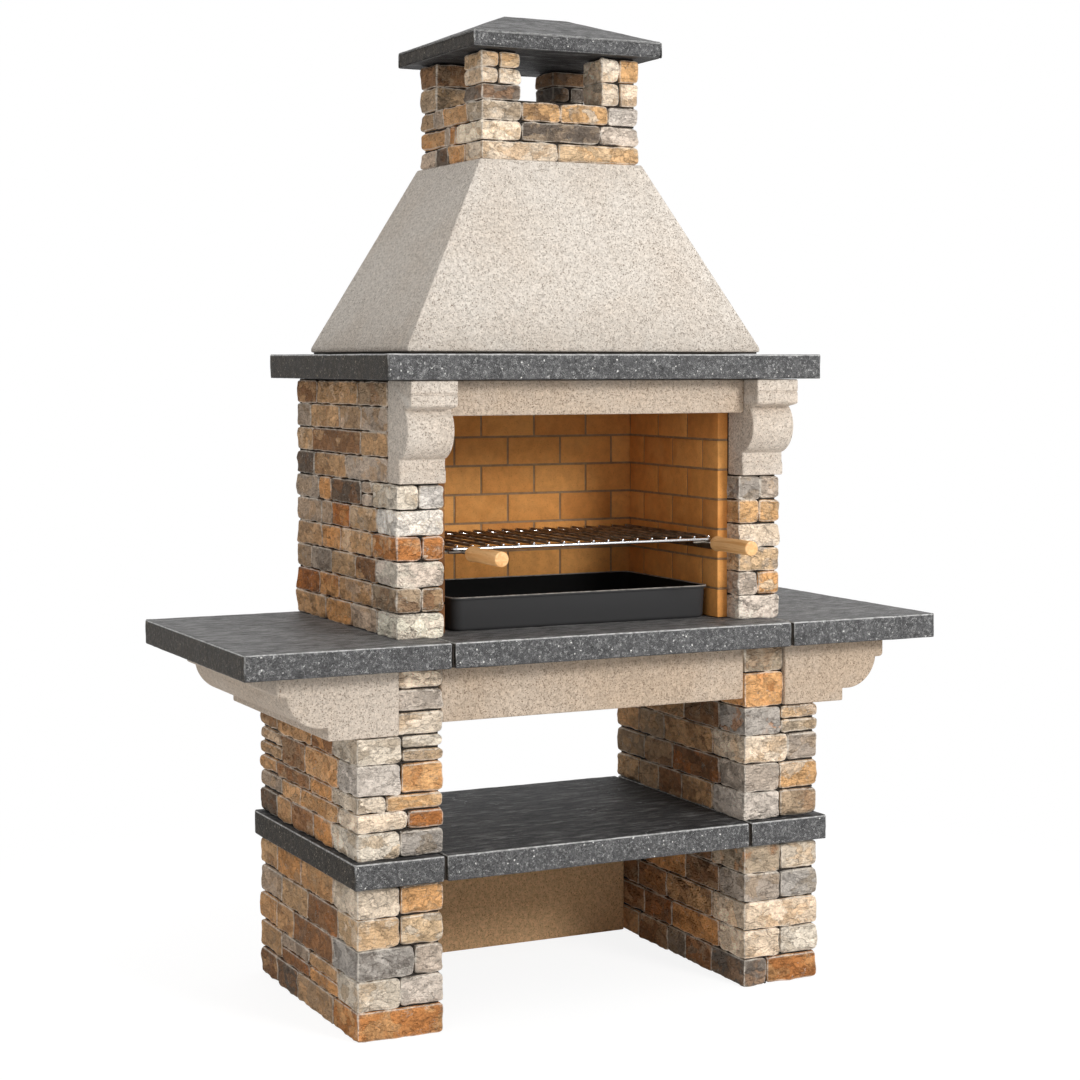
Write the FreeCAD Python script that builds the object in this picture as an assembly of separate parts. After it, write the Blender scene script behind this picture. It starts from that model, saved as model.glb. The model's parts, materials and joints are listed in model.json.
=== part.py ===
import FreeCAD, Part
import os
from collections import namedtuple

# A free-standing masonry barbecue: stone piers, dark stone slabs, a brick-lined firebox, a cast-stone hood
# and a small chimney. Millimetres. X runs across, Y runs back from the pier fronts, and Z is up. Everything
# is set out from the pier fronts and moved once, at export, to put the origin under the middle of the whole.

Vector = FreeCAD.Vector

# Driving dimensions of the base
BAY_HALF = 392
PIER_WIDTH = 203
PIER_DEPTH = 640
LOWER_PIER_HEIGHT = 340
UPPER_PIER_HEIGHT = 270
COLUMN_WIDTH = 107
COLUMN_HEIGHT = 150
SLAB_THICKNESS = 60
SLAB_CHAMFER = 4
SEAM_GAP = 3
SEAM_RECESS = 7
BACK_PANEL_THICKNESS = 40

# Driving dimensions of the shelf, worktop and mantel
SHELF_HALF = 613
SHELF_FRONT = -27
SLAB_BACK = 650
SHELF_SEAM = 394
WORKTOP_HALF = 884
WORKTOP_FRONT = -88
WORKTOP_SEAM_LEFT = -402
WORKTOP_SEAM_RIGHT = 471
MANTEL_HALF = 557
MANTEL_FRONT = -81
MANTEL_BACK = 685

# Driving dimensions of the firebox
WALL_INNER = 383
WALL_OUTER = 495
WALL_FRONT = 15
WALL_COURSE = 57
WALL_COURSES = 10
WALL_FRONT_COURSES = 6
LINING_THICKNESS = 27
LINING_FRONT = 68
LINING_BACK = 505
BRICK_COURSES = 8
BRICK_LENGTH = 146
BRICK_JOINT = 6
BRICK_CHAMFER = 1.5
BRICK_MORTAR_RECESS = 2
LINTEL_HEIGHT = 79
LINTEL_FRONT = -8
LINTEL_BACK = 64

# Driving dimensions of the consoles: fronts of their bands, and heights above the console's own foot
CONSOLE_BACK = 66
CONSOLE_FOOT_LOW = -2
CONSOLE_FOOT_HIGH = 2
CONSOLE_SCROLL_SWELL = -49
CONSOLE_SCROLL_TOP = -30
CONSOLE_HEAD_FRONT = -68
CONSOLE_FOOT_SPLIT = 29
CONSOLE_FOOT_RISE = 54
CONSOLE_SWELL_RISE = 125
CONSOLE_SCROLL_RISE = 164
CONSOLE_HEAD_RISE = 170
CONSOLE_HEAD_SPLIT = 197
CONSOLE_GROOVE = 3

# Driving dimensions of the beams and wing brackets
BEAM_HEIGHT = 130
BEAM_DEPTH = 100
BEAM_SETBACK = 7
BRACKET_FRONT = -8
BRACKET_FOOT = 665
BRACKET_FOOT_HEIGHT = 30
BRACKET_ROUND = 760
BRACKET_LIP = 782
BRACKET_LIP_HEIGHT = 49
BRACKET_LIP_RADIUS = 10
BRACKET_STEP = 5
BRACKET_SWELL = (0.72, 0.3)

# Driving dimensions of the hood, chimney and cap
HOOD_BED = 4
HOOD_BED_INSET = 6
HOOD_HALF = 457
HOOD_FRONT = 42
HOOD_BACK = 655
HOOD_FOOT = 10
HOOD_HEIGHT = 452
HOOD_WALL = 45
HOOD_TOP_MARGIN = 7
MANTEL_OPENING_HALF = 340
MANTEL_OPENING_FRONT = 92
MANTEL_OPENING_BACK = 480
CHIMNEY_HALF = 206
CHIMNEY_FRONT = 192
CHIMNEY_BACK = 552
CHIMNEY_COURSE = 46.5
POST_WIDTH = 98
POST_HEIGHT = 113
POST_KERNEL = 30
CHIMNEY_VENEER = 60
FLUE_LINER = 25
CAP_OVERHANG_X = 41
CAP_OVERHANG_Y = 46
CAP_FASCIA = 38
CAP_RISE = 66
CAP_TOP_HALF_X = 83
CAP_TOP_HALF_Y = 40

# Stonework
STONE_VENEER = 45
STONE_JOINT = 4
STONE_CHAMFER = 5
MORTAR_RECESS = 8
FRONT_BLOCK_DEPTHS = (150, 118)
WALL_BLOCK_DEPTHS = (118, 145)
CHIMNEY_BLOCK_DEPTHS = (95, 150, 80)

# Grill, rails, handles and tray
GRILL_LEVEL = 1068
GRILL_SHIFT = 5
GRILL_HALF = 343
GRILL_FRONT = 75
GRILL_BACK = 490
FRAME_RADIUS = 4
FRAME_CORNER = 18
BAR_RADIUS = 3
BAR_COUNT = 18
BAR_MARGIN = 14
CROSS_RADIUS = 3
WELD = 0.6
RAIL_TOP_GAP = 0.3
RAIL_WIDTH = 40
RAIL_HEIGHT = 22
RAIL_GAUGE = 3
RAIL_FRONT = 92
RAIL_BACK = 495
RAIL_SCREW_DROP = 13
RAIL_SCREW_INSET = 67
SCREW_RADIUS = 2.5
SCREW_LENGTH = 42
SCREW_HEAD_RADIUS = 5
SCREW_HEAD_HEIGHT = 3
HANDLE_PLACES = {"left": -310, "right": 326}
HANDLE_LENGTH = 165
HANDLE_REAR = 30
HANDLE_RADIUS = 17.2
HANDLE_HEEL = 13.5
HANDLE_BEAD = 18.2
HANDLE_BEAD_LENGTH = 30
HANDLE_NECK = 16.4
HANDLE_ROUNDING = 2.5
HANDLE_BORE_DEPTH = 105
STEM_RADIUS = 4
STEM_FOOT_RADIUS = 3.5
STEM_FOOT_HALF = 34
FERRULE_RADIUS = 10
FERRULE_LENGTH = 8
TRAY_SHIFT = 8.5
TRAY_HALF = 338.5
TRAY_FRONT = 88
TRAY_BACK = 500
TRAY_HEIGHT = 76
TRAY_RIM = 5
TRAY_RIM_DROP = 6
TRAY_GAUGE = 2.5
TRAY_CORNER = 24
TRAY_BASE_INSET = 4
TRAY_LIFT = 0.3

# Hidden steel
TIE_RADIUS = 8
TIE_INNER = 330
TIE_OUTER = 620
TIE_LEVEL = 755
DOWEL_RADIUS = 6
DOWEL_HALF = 60
DOWEL_SETS = (80, 560)
LINTEL_PIN_RADIUS = 7
LINTEL_PIN_HALF = 60
HOLE_CLEARANCE = 0.2
SAME_PLACE = 1e-6

# Levels that follow from the heights above
SHELF_Z = LOWER_PIER_HEIGHT
UPPER_Z = SHELF_Z + SLAB_THICKNESS
BRACKET_Z = UPPER_Z + UPPER_PIER_HEIGHT
WORKTOP_Z = BRACKET_Z + COLUMN_HEIGHT
HEARTH_Z = WORKTOP_Z + SLAB_THICKNESS
CONSOLE_Z = HEARTH_Z + WALL_COURSE * WALL_FRONT_COURSES
MANTEL_Z = HEARTH_Z + WALL_COURSE * WALL_COURSES
HOOD_Z = MANTEL_Z + SLAB_THICKNESS
CHIMNEY_Z = HOOD_Z + HOOD_HEIGHT
POST_Z = CHIMNEY_Z + CHIMNEY_COURSE * 3
CAP_Z = POST_Z + POST_HEIGHT
LINING_HALF = WALL_INNER - LINING_THICKNESS
PIER_OUTER = BAY_HALF + PIER_WIDTH
COLUMN_OUTER = BAY_HALF + COLUMN_WIDTH
BEAM_FRONT = BEAM_SETBACK
REAR_BEAM_BACK = PIER_DEPTH - BEAM_SETBACK
HANDLE_TIP = HANDLE_REAR - HANDLE_LENGTH
DEPTH_CENTRE = (MANTEL_BACK + HANDLE_TIP) / 2
SIDES = {"left": -1, "right": 1}

# Stone lengths in each course, bottom course first, as shares of the run that they fill. Fronts run from the
# bay outwards, and side runs go from front to back. A pair is two thin stones laid one over the other.
Pair = namedtuple("Pair", "share")
LOWER_FRONTS = {
    "left": [(1,), (1, 1), (1, 2), (1, 1), (1, 1)],
    "right": [(1, 2.2), (1, 1), (1,), (1, 1), (1, 1)],
}
LOWER_OUTER_RUNS = [(2, 1.2), (Pair(1), Pair(1)), (2.3, 1), (1.2, 1.1), (1.25, 1)]
LOWER_INNER_RUNS = [(1, 0.7, 1.2), (1.6, 1), (1.5, 1), (1.2, 1.6), (1, 1.3)]
UPPER_HEIGHTS = {"left": (61, 43, 37, 69, 60), "right": (67.5, 67.5, 67.5, 67.5)}
UPPER_FRONTS = {
    "left": [(1, 1), (0.7, 1), (2, 1), (0.95, 1), (Pair(1), 1.1)],
    "right": [(1, 1.05), (1, 1.1), (1.4, 1), (1, Pair(1))],
}
UPPER_OUTER_RUNS = [(1, 1.2, 0.8), (1.7, 1), (1, 1.5), (1.3, 1), (0.8, 1.4)]
UPPER_INNER_RUNS = [(1, 0.8, 0.7), (1.6, 1), (1.8, 1), (1, 1.2), (1.3, 1)]
COLUMN_HEIGHTS = {"left": (52, 50, 48), "right": (84, 66)}
COLUMN_INNER_RUNS = [(1.3, 1), (1, 1.6), (1.2, 1)]
WALL_FRONTS = {
    "left": [(1,), (1, 1.1), (1,), (1, 1.2), (1,), (1.1, 1)],
    "right": [(1,), (1, 1.1), (1,), (1,), (1, 1), (1.1, 1)],
}
WALL_RUNS = [
    (1.35, 1.45, 1.7), (1.75, 1.1, 1.3), (1.15, 1.4, 1.2, 0.9), (1.6, 1, 1.4), (1.25, 0.9, 0.5, 1.3),
    (Pair(0.5), 1.4, 0.6, 1.1), (1.85, 1.5, 0.9), (1.15, 2.2, 0.8), (1.15, 1, 1.4, 0.7), (1.3, 1.9, 1),
]
CHIMNEY_FRONTS = [(3.8, 4.1), (1.95, 4, 1.95), (1.95, 1.95, 2.45, 1.55)]
CHIMNEY_RUNS = [(1.4, 1), (1, 0.8), (1.7, 0.7)]
POST_COURSES = {
    "front_left": [(1,), (0.8, 1), (0.9, 1)],
    "front_right": [(1, 1), (1, 1.1)],
    "back_left": [(1,), (1,)],
    "back_right": [(1,), (1, 1), (1,)],
}

Stone = namedtuple("Stone", "x y z shown")


def block(x, y, z):
    """A box between pairs of limits."""
    return Part.makeBox(x[1] - x[0], y[1] - y[0], z[1] - z[0], Vector(x[0], y[0], z[0]))


def across(side, near, far):
    """X limits on the left (-1) or right (+1) side, from distances to the middle."""
    return tuple(sorted((side * near, side * far)))


def rod(start, end, radius):
    """A round bar between two points."""
    run = end.sub(start)
    return Part.makeCylinder(radius, run.Length, start, run)


def profile(points, travel):
    """A closed outline of straight lines, pushed along a vector."""
    return Part.Face(Part.makePolygon(points + points[:1])).extrude(travel)


def slab(x, y, z):
    """A dark stone slab with its edges taken off."""
    whole = block(x, y, z)
    return whole.makeChamfer(SLAB_CHAMFER, whole.Edges)


def frustum(low, high, z_low, z_high):
    """A solid between two rectangles, each given as X limits and Y limits."""
    rings = []
    for (x, y), z in ((low, z_low), (high, z_high)):
        corners = [Vector(x[0], y[0], z), Vector(x[1], y[0], z), Vector(x[1], y[1], z), Vector(x[0], y[1], z)]
        rings.append(Part.makePolygon(corners + corners[:1]))
    return Part.makeLoft(rings, True, True)


def spans(start, end, shares):
    """Limits of each share of a run, with the share itself."""
    sizes = [share.share if isinstance(share, Pair) else share for share in shares]
    scale = (end - start) / sum(sizes)
    at = start
    for share, size in zip(shares, sizes):
        yield (at, at + size * scale), share
        at += size * scale


def lay(x, y, z, shown, share):
    """One stone, or a pair of thin ones, in a cell, with joints wherever the stone isn't seen."""
    half = STONE_JOINT / 2
    x = (x[0] + (0 if "in" in shown else half), x[1] - (0 if "out" in shown else half))
    y = (y[0] + (0 if "front" in shown else half), y[1] - (0 if "back" in shown else half))
    layers = 2 if isinstance(share, Pair) else 1
    rise = (z[1] - z[0]) / layers
    levels = [z[0] + rise * layer for layer in range(layers)]
    return [Stone(x, y, (low, low + rise - STONE_JOINT), shown) for low in levels]


def end_row(x, y, z, face, shares, sides=("in", "out")):
    """Stones across a whole front or back, whose ends show on the given sides."""
    stones = []
    for cell, share in spans(x[0], x[1], shares):
        shown = [face]
        if cell[0] == x[0] and sides[0]:
            shown.append(sides[0])
        if abs(cell[1] - x[1]) < STONE_JOINT / 2 and sides[1]:
            shown.append(sides[1])
        stones += lay(cell, y, z, tuple(shown), share)
    return stones


def side_run(x, y, z, face, shares):
    """Stones along one side, front to back."""
    stones = []
    for cell, share in spans(y[0], y[1], shares):
        stones += lay(x, cell, z, (face,), share)
    return stones


def ring_course(x, y, z, depths, front, back, inner, outer, veneer):
    """One course around all four sides of a pier."""
    mid = (y[0] + depths[0], y[1] - depths[1])
    return (end_row(x, (y[0], mid[0]), z, "front", front) + end_row(x, (mid[1], y[1]), z, "back", back)
            + side_run((x[0], x[0] + veneer), mid, z, "in", inner)
            + side_run((x[1] - veneer, x[1]), mid, z, "out", outer))


def levels(start, heights):
    """Z limits of courses laid one on another."""
    limits = []
    for height in heights:
        limits.append((start, start + height))
        start += height
    return limits


def cell(stone, side):
    """The whole box that a stone fills."""
    return block(across(side, *stone.x), stone.y, stone.z)


def dressed(stone, side):
    """A stone with the edges of its visible faces knocked off."""
    whole = cell(stone, side)
    planes = {"in": ("x", side * stone.x[0]), "out": ("x", side * stone.x[1]),
              "front": ("y", stone.y[0]), "back": ("y", stone.y[1])}
    shown = [planes[face] for face in stone.shown]
    edges = [edge for edge in whole.Edges
             if any(abs(getattr(edge.CenterOfMass, axis) - at) < SAME_PLACE for axis, at in shown)]
    return whole.makeChamfer(STONE_CHAMFER, edges)


def less(shape, tools):
    """A solid with other solids taken out of it, where they meet."""
    near = [tool for tool in tools if tool.BoundBox.intersect(shape.BoundBox)]
    return shape.cut(near) if near else shape


def masonry(nodes, name, envelope, stones, side, tools=()):
    """Adds a mortared core and its facing stones as two nodes."""
    nodes[name + "_core"] = less(envelope.cut([cell(stone, side) for stone in stones]), tools)
    nodes[name + "_stones"] = Part.makeCompound([less(dressed(stone, side), tools) for stone in stones])


def inset(x, y, z, sides=("in", "out", "front", "back"), side=1):
    """An envelope set in by the depth of the raked joints on the given sides."""
    x = (x[0] + MORTAR_RECESS * ("in" in sides), x[1] - MORTAR_RECESS * ("out" in sides))
    y = (y[0] + MORTAR_RECESS * ("front" in sides), y[1] - MORTAR_RECESS * ("back" in sides))
    return block(across(side, *x), y, z)


def tie_rods(side, spare=0):
    """Steel rods through bracket, column and beam, or their holes with some spare radius."""
    depths = (BEAM_FRONT + BEAM_DEPTH / 2, REAR_BEAM_BACK - BEAM_DEPTH / 2)
    radius = TIE_RADIUS + spare
    return [rod(Vector(side * TIE_INNER, y, TIE_LEVEL), Vector(side * TIE_OUTER, y, TIE_LEVEL), radius)
            for y in depths]


def shelf_dowels(side, spare=0):
    """Steel dowels across one shelf seam, or their holes."""
    z = SHELF_Z + SLAB_THICKNESS / 2
    ends = (side * (SHELF_SEAM - DOWEL_HALF), side * (SHELF_SEAM + DOWEL_HALF))
    return [rod(Vector(ends[0], y, z), Vector(ends[1], y, z), DOWEL_RADIUS + spare) for y in DOWEL_SETS]


def lintel_pin(side, spare=0):
    """The pin that holds one end of the lintel to its console, or its hole."""
    y = (LINTEL_FRONT + LINTEL_BACK) / 2
    z = MANTEL_Z - LINTEL_HEIGHT / 2
    return rod(Vector(side * (WALL_INNER - LINTEL_PIN_HALF), y, z),
               Vector(side * (WALL_INNER + LINTEL_PIN_HALF), y, z), LINTEL_PIN_RADIUS + spare)


def lower_pier(nodes, name, side):
    """The pier below the shelf."""
    x = (BAY_HALF, PIER_OUTER)
    y = (0, PIER_DEPTH)
    other = "left" if name == "right" else "right"
    course_height = LOWER_PIER_HEIGHT / len(LOWER_OUTER_RUNS)
    courses = []
    for row, z in enumerate(levels(0, [course_height] * len(LOWER_OUTER_RUNS))):
        depths = FRONT_BLOCK_DEPTHS[row % 2], FRONT_BLOCK_DEPTHS[1 - row % 2]
        courses.append(ring_course(x, y, z, depths, LOWER_FRONTS[name][row], LOWER_FRONTS[other][row],
                                   LOWER_INNER_RUNS[row], LOWER_OUTER_RUNS[row], STONE_VENEER))
    footing = [cell(stone, side) for stone in courses[0]]
    envelope = inset(x, y, (0, LOWER_PIER_HEIGHT), side=side).cut(footing)
    masonry(nodes, name + "_lower_pier", envelope, sum(courses[1:], []), side)
    nodes[name + "_footing_stones"] = Part.makeCompound([dressed(stone, side) for stone in courses[0]])


def upper_pier(nodes, name, side):
    """The pier above the shelf, with the narrow column that rises beside the wing bracket."""
    x = (BAY_HALF, PIER_OUTER)
    column_x = (BAY_HALF, COLUMN_OUTER)
    y = (0, PIER_DEPTH)
    stones = []
    for row, z in enumerate(levels(UPPER_Z, UPPER_HEIGHTS[name])):
        depths = FRONT_BLOCK_DEPTHS[row % 2], FRONT_BLOCK_DEPTHS[1 - row % 2]
        stones += ring_course(x, y, z, depths, UPPER_FRONTS[name][row], UPPER_FRONTS["right"][row % 4],
                              UPPER_INNER_RUNS[row], UPPER_OUTER_RUNS[row], STONE_VENEER)
    for row, z in enumerate(levels(BRACKET_Z, COLUMN_HEIGHTS[name])):
        depth = FRONT_BLOCK_DEPTHS[(row + 1) % 2]
        stones += end_row(column_x, (0, depth), z, "front", (1,), ("in", None))
        stones += end_row(column_x, (PIER_DEPTH - depth, PIER_DEPTH), z, "back", (1,), ("in", None))
        stones += side_run((BAY_HALF, BAY_HALF + STONE_VENEER), (depth, PIER_DEPTH - depth), z, "in",
                           COLUMN_INNER_RUNS[row])
    pier = inset(x, y, (UPPER_Z, BRACKET_Z), side=side)
    column = inset(column_x, y, (BRACKET_Z, WORKTOP_Z), ("in", "front", "back"), side)
    masonry(nodes, name + "_upper_pier", pier.fuse(column), stones, side,
            tie_rods(side, HOLE_CLEARANCE))


def firebox_wall(nodes, name, side):
    """One side of the firebox: stone outside and at the front, bare core towards the bricks."""
    x = (WALL_INNER, WALL_OUTER)
    stones = []
    for row, z in enumerate(levels(HEARTH_Z, [WALL_COURSE] * WALL_COURSES)):
        run_front = CONSOLE_BACK
        if row < WALL_FRONT_COURSES:
            run_front = WALL_FRONT + WALL_BLOCK_DEPTHS[row % 2]
            stones += end_row(x, (WALL_FRONT, run_front), z, "front", WALL_FRONTS[name][row])
        stones += side_run((WALL_OUTER - STONE_VENEER, WALL_OUTER), (run_front, SLAB_BACK), z, "out",
                           WALL_RUNS[row])
    face = inset(x, (WALL_FRONT, LINING_FRONT), (HEARTH_Z, CONSOLE_Z), ("in", "out", "front"), side)
    body = inset(x, (LINING_FRONT, SLAB_BACK), (HEARTH_Z, MANTEL_Z), ("out",), side)
    masonry(nodes, name + "_firebox_wall", face.fuse(body), stones, side,
            rail_screws(side, HOLE_CLEARANCE))


def chimney(nodes):
    """Three courses round a flue liner, with a post of stones on each corner."""
    x = (-CHIMNEY_HALF, CHIMNEY_HALF)
    y = (CHIMNEY_FRONT, CHIMNEY_BACK)
    liner_x = (x[0] + CHIMNEY_VENEER, x[1] - CHIMNEY_VENEER)
    liner_y = (y[0] + CHIMNEY_VENEER, y[1] - CHIMNEY_VENEER)
    z = (CHIMNEY_Z, POST_Z)
    flue = block((liner_x[0] + FLUE_LINER, liner_x[1] - FLUE_LINER),
                 (liner_y[0] + FLUE_LINER, liner_y[1] - FLUE_LINER), z)
    liner = block(liner_x, liner_y, z)
    stones = []
    for row, limits in enumerate(levels(CHIMNEY_Z, [CHIMNEY_COURSE] * len(CHIMNEY_FRONTS))):
        depth = CHIMNEY_BLOCK_DEPTHS[row]
        stones += ring_course(x, y, limits, (depth, depth), CHIMNEY_FRONTS[row], CHIMNEY_FRONTS[row][::-1],
                              CHIMNEY_RUNS[row], CHIMNEY_RUNS[row], CHIMNEY_VENEER)
    nodes["chimney_flue_liner"] = liner.cut(flue)
    nodes["chimney_joint_mortar"] = inset(x, y, z).cut([liner] + [cell(stone, 1) for stone in stones])
    nodes["chimney_stones"] = Part.makeCompound([less(dressed(stone, 1), [liner]) for stone in stones])
    cores = []
    facing = []
    for name, courses in POST_COURSES.items():
        post_x = (x[0], x[0] + POST_WIDTH) if "left" in name else (x[1] - POST_WIDTH, x[1])
        post_y = (y[0], y[0] + POST_WIDTH) if "front" in name else (y[1] - POST_WIDTH, y[1])
        core, stones = chimney_post(post_x, post_y, courses)
        cores.append(core)
        facing += stones
    nodes["chimney_post_cores"] = Part.makeCompound(cores)
    nodes["chimney_post_stones"] = Part.makeCompound(facing)


def chimney_post(x, y, courses):
    """One corner post: a cast kernel with bed joints, and the stones threaded over it."""
    z = (POST_Z, CAP_Z)
    margin = (POST_WIDTH - POST_KERNEL) / 2
    kernel = block((x[0] + margin, x[1] - margin), (y[0] + margin, y[1] - margin), z)
    stones = []
    for row, limits in zip(courses, levels(POST_Z, [POST_HEIGHT / len(courses)] * len(courses))):
        for stone in end_row(x, y, limits, "front", row):
            stones.append(stone._replace(shown=stone.shown + ("back",), y=y))
    core = inset(x, y, z).cut([cell(stone, 1) for stone in stones]).fuse(kernel)
    return core.removeSplitter(), [dressed(stone, 1).cut(kernel) for stone in stones]


def slabs(nodes):
    """Shelf, worktop and mantel in dark stone, with mortar in the seams."""
    holes = shelf_dowels(-1, HOLE_CLEARANCE) + shelf_dowels(1, HOLE_CLEARANCE)
    gap = SEAM_GAP / 2
    shelf_ends = {"left": (-SHELF_HALF, -SHELF_SEAM - gap), "middle": (-SHELF_SEAM + gap, SHELF_SEAM - gap),
                  "right": (SHELF_SEAM + gap, SHELF_HALF)}
    worktop_ends = {"left": (-WORKTOP_HALF, WORKTOP_SEAM_LEFT - gap),
                    "middle": (WORKTOP_SEAM_LEFT + gap, WORKTOP_SEAM_RIGHT - gap),
                    "right": (WORKTOP_SEAM_RIGHT + gap, WORKTOP_HALF)}
    for name, x in shelf_ends.items():
        nodes["shelf_slab_" + name] = less(slab(x, (SHELF_FRONT, SLAB_BACK), (SHELF_Z, UPPER_Z)), holes)
    for name, x in worktop_ends.items():
        nodes["worktop_slab_" + name] = slab(x, (WORKTOP_FRONT, SLAB_BACK), (WORKTOP_Z, HEARTH_Z))
    nodes["shelf_dowels"] = Part.makeCompound(shelf_dowels(-1) + shelf_dowels(1))
    seams = []
    for at in (-SHELF_SEAM, SHELF_SEAM):
        fill = block((at - gap, at + gap), (SHELF_FRONT + SEAM_RECESS, SLAB_BACK - SEAM_RECESS),
                     (SHELF_Z + SLAB_CHAMFER, UPPER_Z - SEAM_RECESS))
        seams.append(less(fill, holes))
    for at in (WORKTOP_SEAM_LEFT, WORKTOP_SEAM_RIGHT):
        seams.append(block((at - gap, at + gap), (WORKTOP_FRONT + SEAM_RECESS, SLAB_BACK - SEAM_RECESS),
                           (WORKTOP_Z + SLAB_CHAMFER, HEARTH_Z - SEAM_RECESS)))
    nodes["slab_seam_mortar"] = Part.makeCompound(seams)
    opening = block((-MANTEL_OPENING_HALF, MANTEL_OPENING_HALF), (MANTEL_OPENING_FRONT, MANTEL_OPENING_BACK),
                    (MANTEL_Z, HOOD_Z))
    mantel = slab((-MANTEL_HALF, MANTEL_HALF), (MANTEL_FRONT, MANTEL_BACK), (MANTEL_Z, HOOD_Z))
    nodes["mantel_slab"] = mantel.cut(opening)


def wing_bracket(side):
    """A moulded bracket under one wing: foot, quarter round, step and rounded lip."""
    def at(x, z):
        return Vector(side * x, BRACKET_FRONT, z)

    top = WORKTOP_Z
    foot_top = BRACKET_Z + BRACKET_FOOT_HEIGHT
    lip = top - BRACKET_LIP_HEIGHT
    round_top = lip - BRACKET_STEP
    swell = at(BRACKET_FOOT + BRACKET_SWELL[0] * (BRACKET_ROUND - BRACKET_FOOT),
               foot_top + BRACKET_SWELL[1] * (round_top - foot_top))
    turn = BRACKET_LIP - BRACKET_LIP_RADIUS
    corner = BRACKET_LIP_RADIUS * (1 - 2 ** -0.5)
    edges = [
        Part.makeLine(at(COLUMN_OUTER, top), at(COLUMN_OUTER, BRACKET_Z)),
        Part.makeLine(at(COLUMN_OUTER, BRACKET_Z), at(BRACKET_FOOT, BRACKET_Z)),
        Part.makeLine(at(BRACKET_FOOT, BRACKET_Z), at(BRACKET_FOOT, foot_top)),
        Part.Arc(at(BRACKET_FOOT, foot_top), swell, at(BRACKET_ROUND, round_top)).toShape(),
        Part.makeLine(at(BRACKET_ROUND, round_top), at(BRACKET_ROUND, lip)),
        Part.makeLine(at(BRACKET_ROUND, lip), at(turn, lip)),
        Part.Arc(at(turn, lip), at(BRACKET_LIP - corner, lip + corner),
                 at(BRACKET_LIP, lip + BRACKET_LIP_RADIUS)).toShape(),
        Part.makeLine(at(BRACKET_LIP, lip + BRACKET_LIP_RADIUS), at(BRACKET_LIP, top)),
        Part.makeLine(at(BRACKET_LIP, top), at(COLUMN_OUTER, top)),
    ]
    face = Part.Face(Part.Wire(edges))
    return face.extrude(Vector(0, PIER_DEPTH - BRACKET_FRONT, 0)).cut(tie_rods(side, HOLE_CLEARANCE))


def console(side):
    """A scrolled console: banded foot, swelling scroll and banded head."""
    def at(y, rise):
        return Vector(side * WALL_INNER, y, CONSOLE_Z + rise)

    full = MANTEL_Z - CONSOLE_Z
    head = CONSOLE_HEAD_FRONT
    groove = CONSOLE_GROOVE
    lower = [at(CONSOLE_BACK, 0), at(CONSOLE_FOOT_LOW, 0), at(CONSOLE_FOOT_LOW, CONSOLE_FOOT_SPLIT),
             at(CONSOLE_FOOT_HIGH, CONSOLE_FOOT_SPLIT + groove), at(CONSOLE_FOOT_HIGH, CONSOLE_FOOT_RISE)]
    upper = [at(CONSOLE_SCROLL_TOP, CONSOLE_SCROLL_RISE), at(head + groove, CONSOLE_HEAD_RISE),
             at(head, CONSOLE_HEAD_RISE + groove), at(head, CONSOLE_HEAD_SPLIT),
             at(head + groove, CONSOLE_HEAD_SPLIT + groove / 2), at(head, CONSOLE_HEAD_SPLIT + groove),
             at(head, full), at(CONSOLE_BACK, full)]
    edges = [Part.makeLine(a, b) for a, b in zip(lower, lower[1:])]
    edges.append(Part.Arc(lower[-1], at(CONSOLE_SCROLL_SWELL, CONSOLE_SWELL_RISE), upper[0]).toShape())
    edges += [Part.makeLine(a, b) for a, b in zip(upper, upper[1:])]
    edges.append(Part.makeLine(upper[-1], lower[0]))
    face = Part.Face(Part.Wire(edges))
    return face.extrude(Vector(side * (WALL_OUTER - WALL_INNER), 0, 0)).cut(lintel_pin(side, HOLE_CLEARANCE))


def cast_stone(nodes):
    """Brackets, beams, consoles, lintel and plain panels."""
    holes = tie_rods(-1, HOLE_CLEARANCE) + tie_rods(1, HOLE_CLEARANCE)
    nodes["tie_rods"] = Part.makeCompound(tie_rods(-1) + tie_rods(1))
    z = (WORKTOP_Z - BEAM_HEIGHT, WORKTOP_Z)
    bay = (-BAY_HALF, BAY_HALF)
    nodes["front_beam"] = block(bay, (BEAM_FRONT, BEAM_FRONT + BEAM_DEPTH), z).cut(holes)
    nodes["rear_beam"] = block(bay, (REAR_BEAM_BACK - BEAM_DEPTH, REAR_BEAM_BACK), z).cut(holes)
    nodes["lower_back_panel"] = block(bay, (PIER_DEPTH - BACK_PANEL_THICKNESS, PIER_DEPTH),
                                      (0, LOWER_PIER_HEIGHT))
    nodes["lintel_pins"] = Part.makeCompound([lintel_pin(side) for side in SIDES.values()])
    lintel = block((-WALL_INNER, WALL_INNER), (LINTEL_FRONT, LINTEL_BACK),
                   (MANTEL_Z - LINTEL_HEIGHT, MANTEL_Z))
    nodes["lintel"] = lintel.cut([lintel_pin(side, HOLE_CLEARANCE) for side in SIDES.values()])
    nodes["rear_firebox_wall"] = block((-WALL_INNER, WALL_INNER), (LINING_BACK + LINING_THICKNESS, SLAB_BACK),
                                       (HEARTH_Z, MANTEL_Z))
    for name, side in SIDES.items():
        nodes[name + "_wing_bracket"] = wing_bracket(side)
        nodes[name + "_console"] = console(side)


def brick_spans(start, end, offset):
    """Limits of the bricks in one course, broken by half a brick where the course is offset."""
    at = start - offset
    while at < end:
        low = max(start, at)
        high = min(end, at + BRICK_LENGTH)
        if high - low > 2 * BRICK_JOINT:
            low += 0 if low == start else BRICK_JOINT / 2
            high -= 0 if high == end else BRICK_JOINT / 2
            yield (low, high)
        at += BRICK_LENGTH


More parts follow.
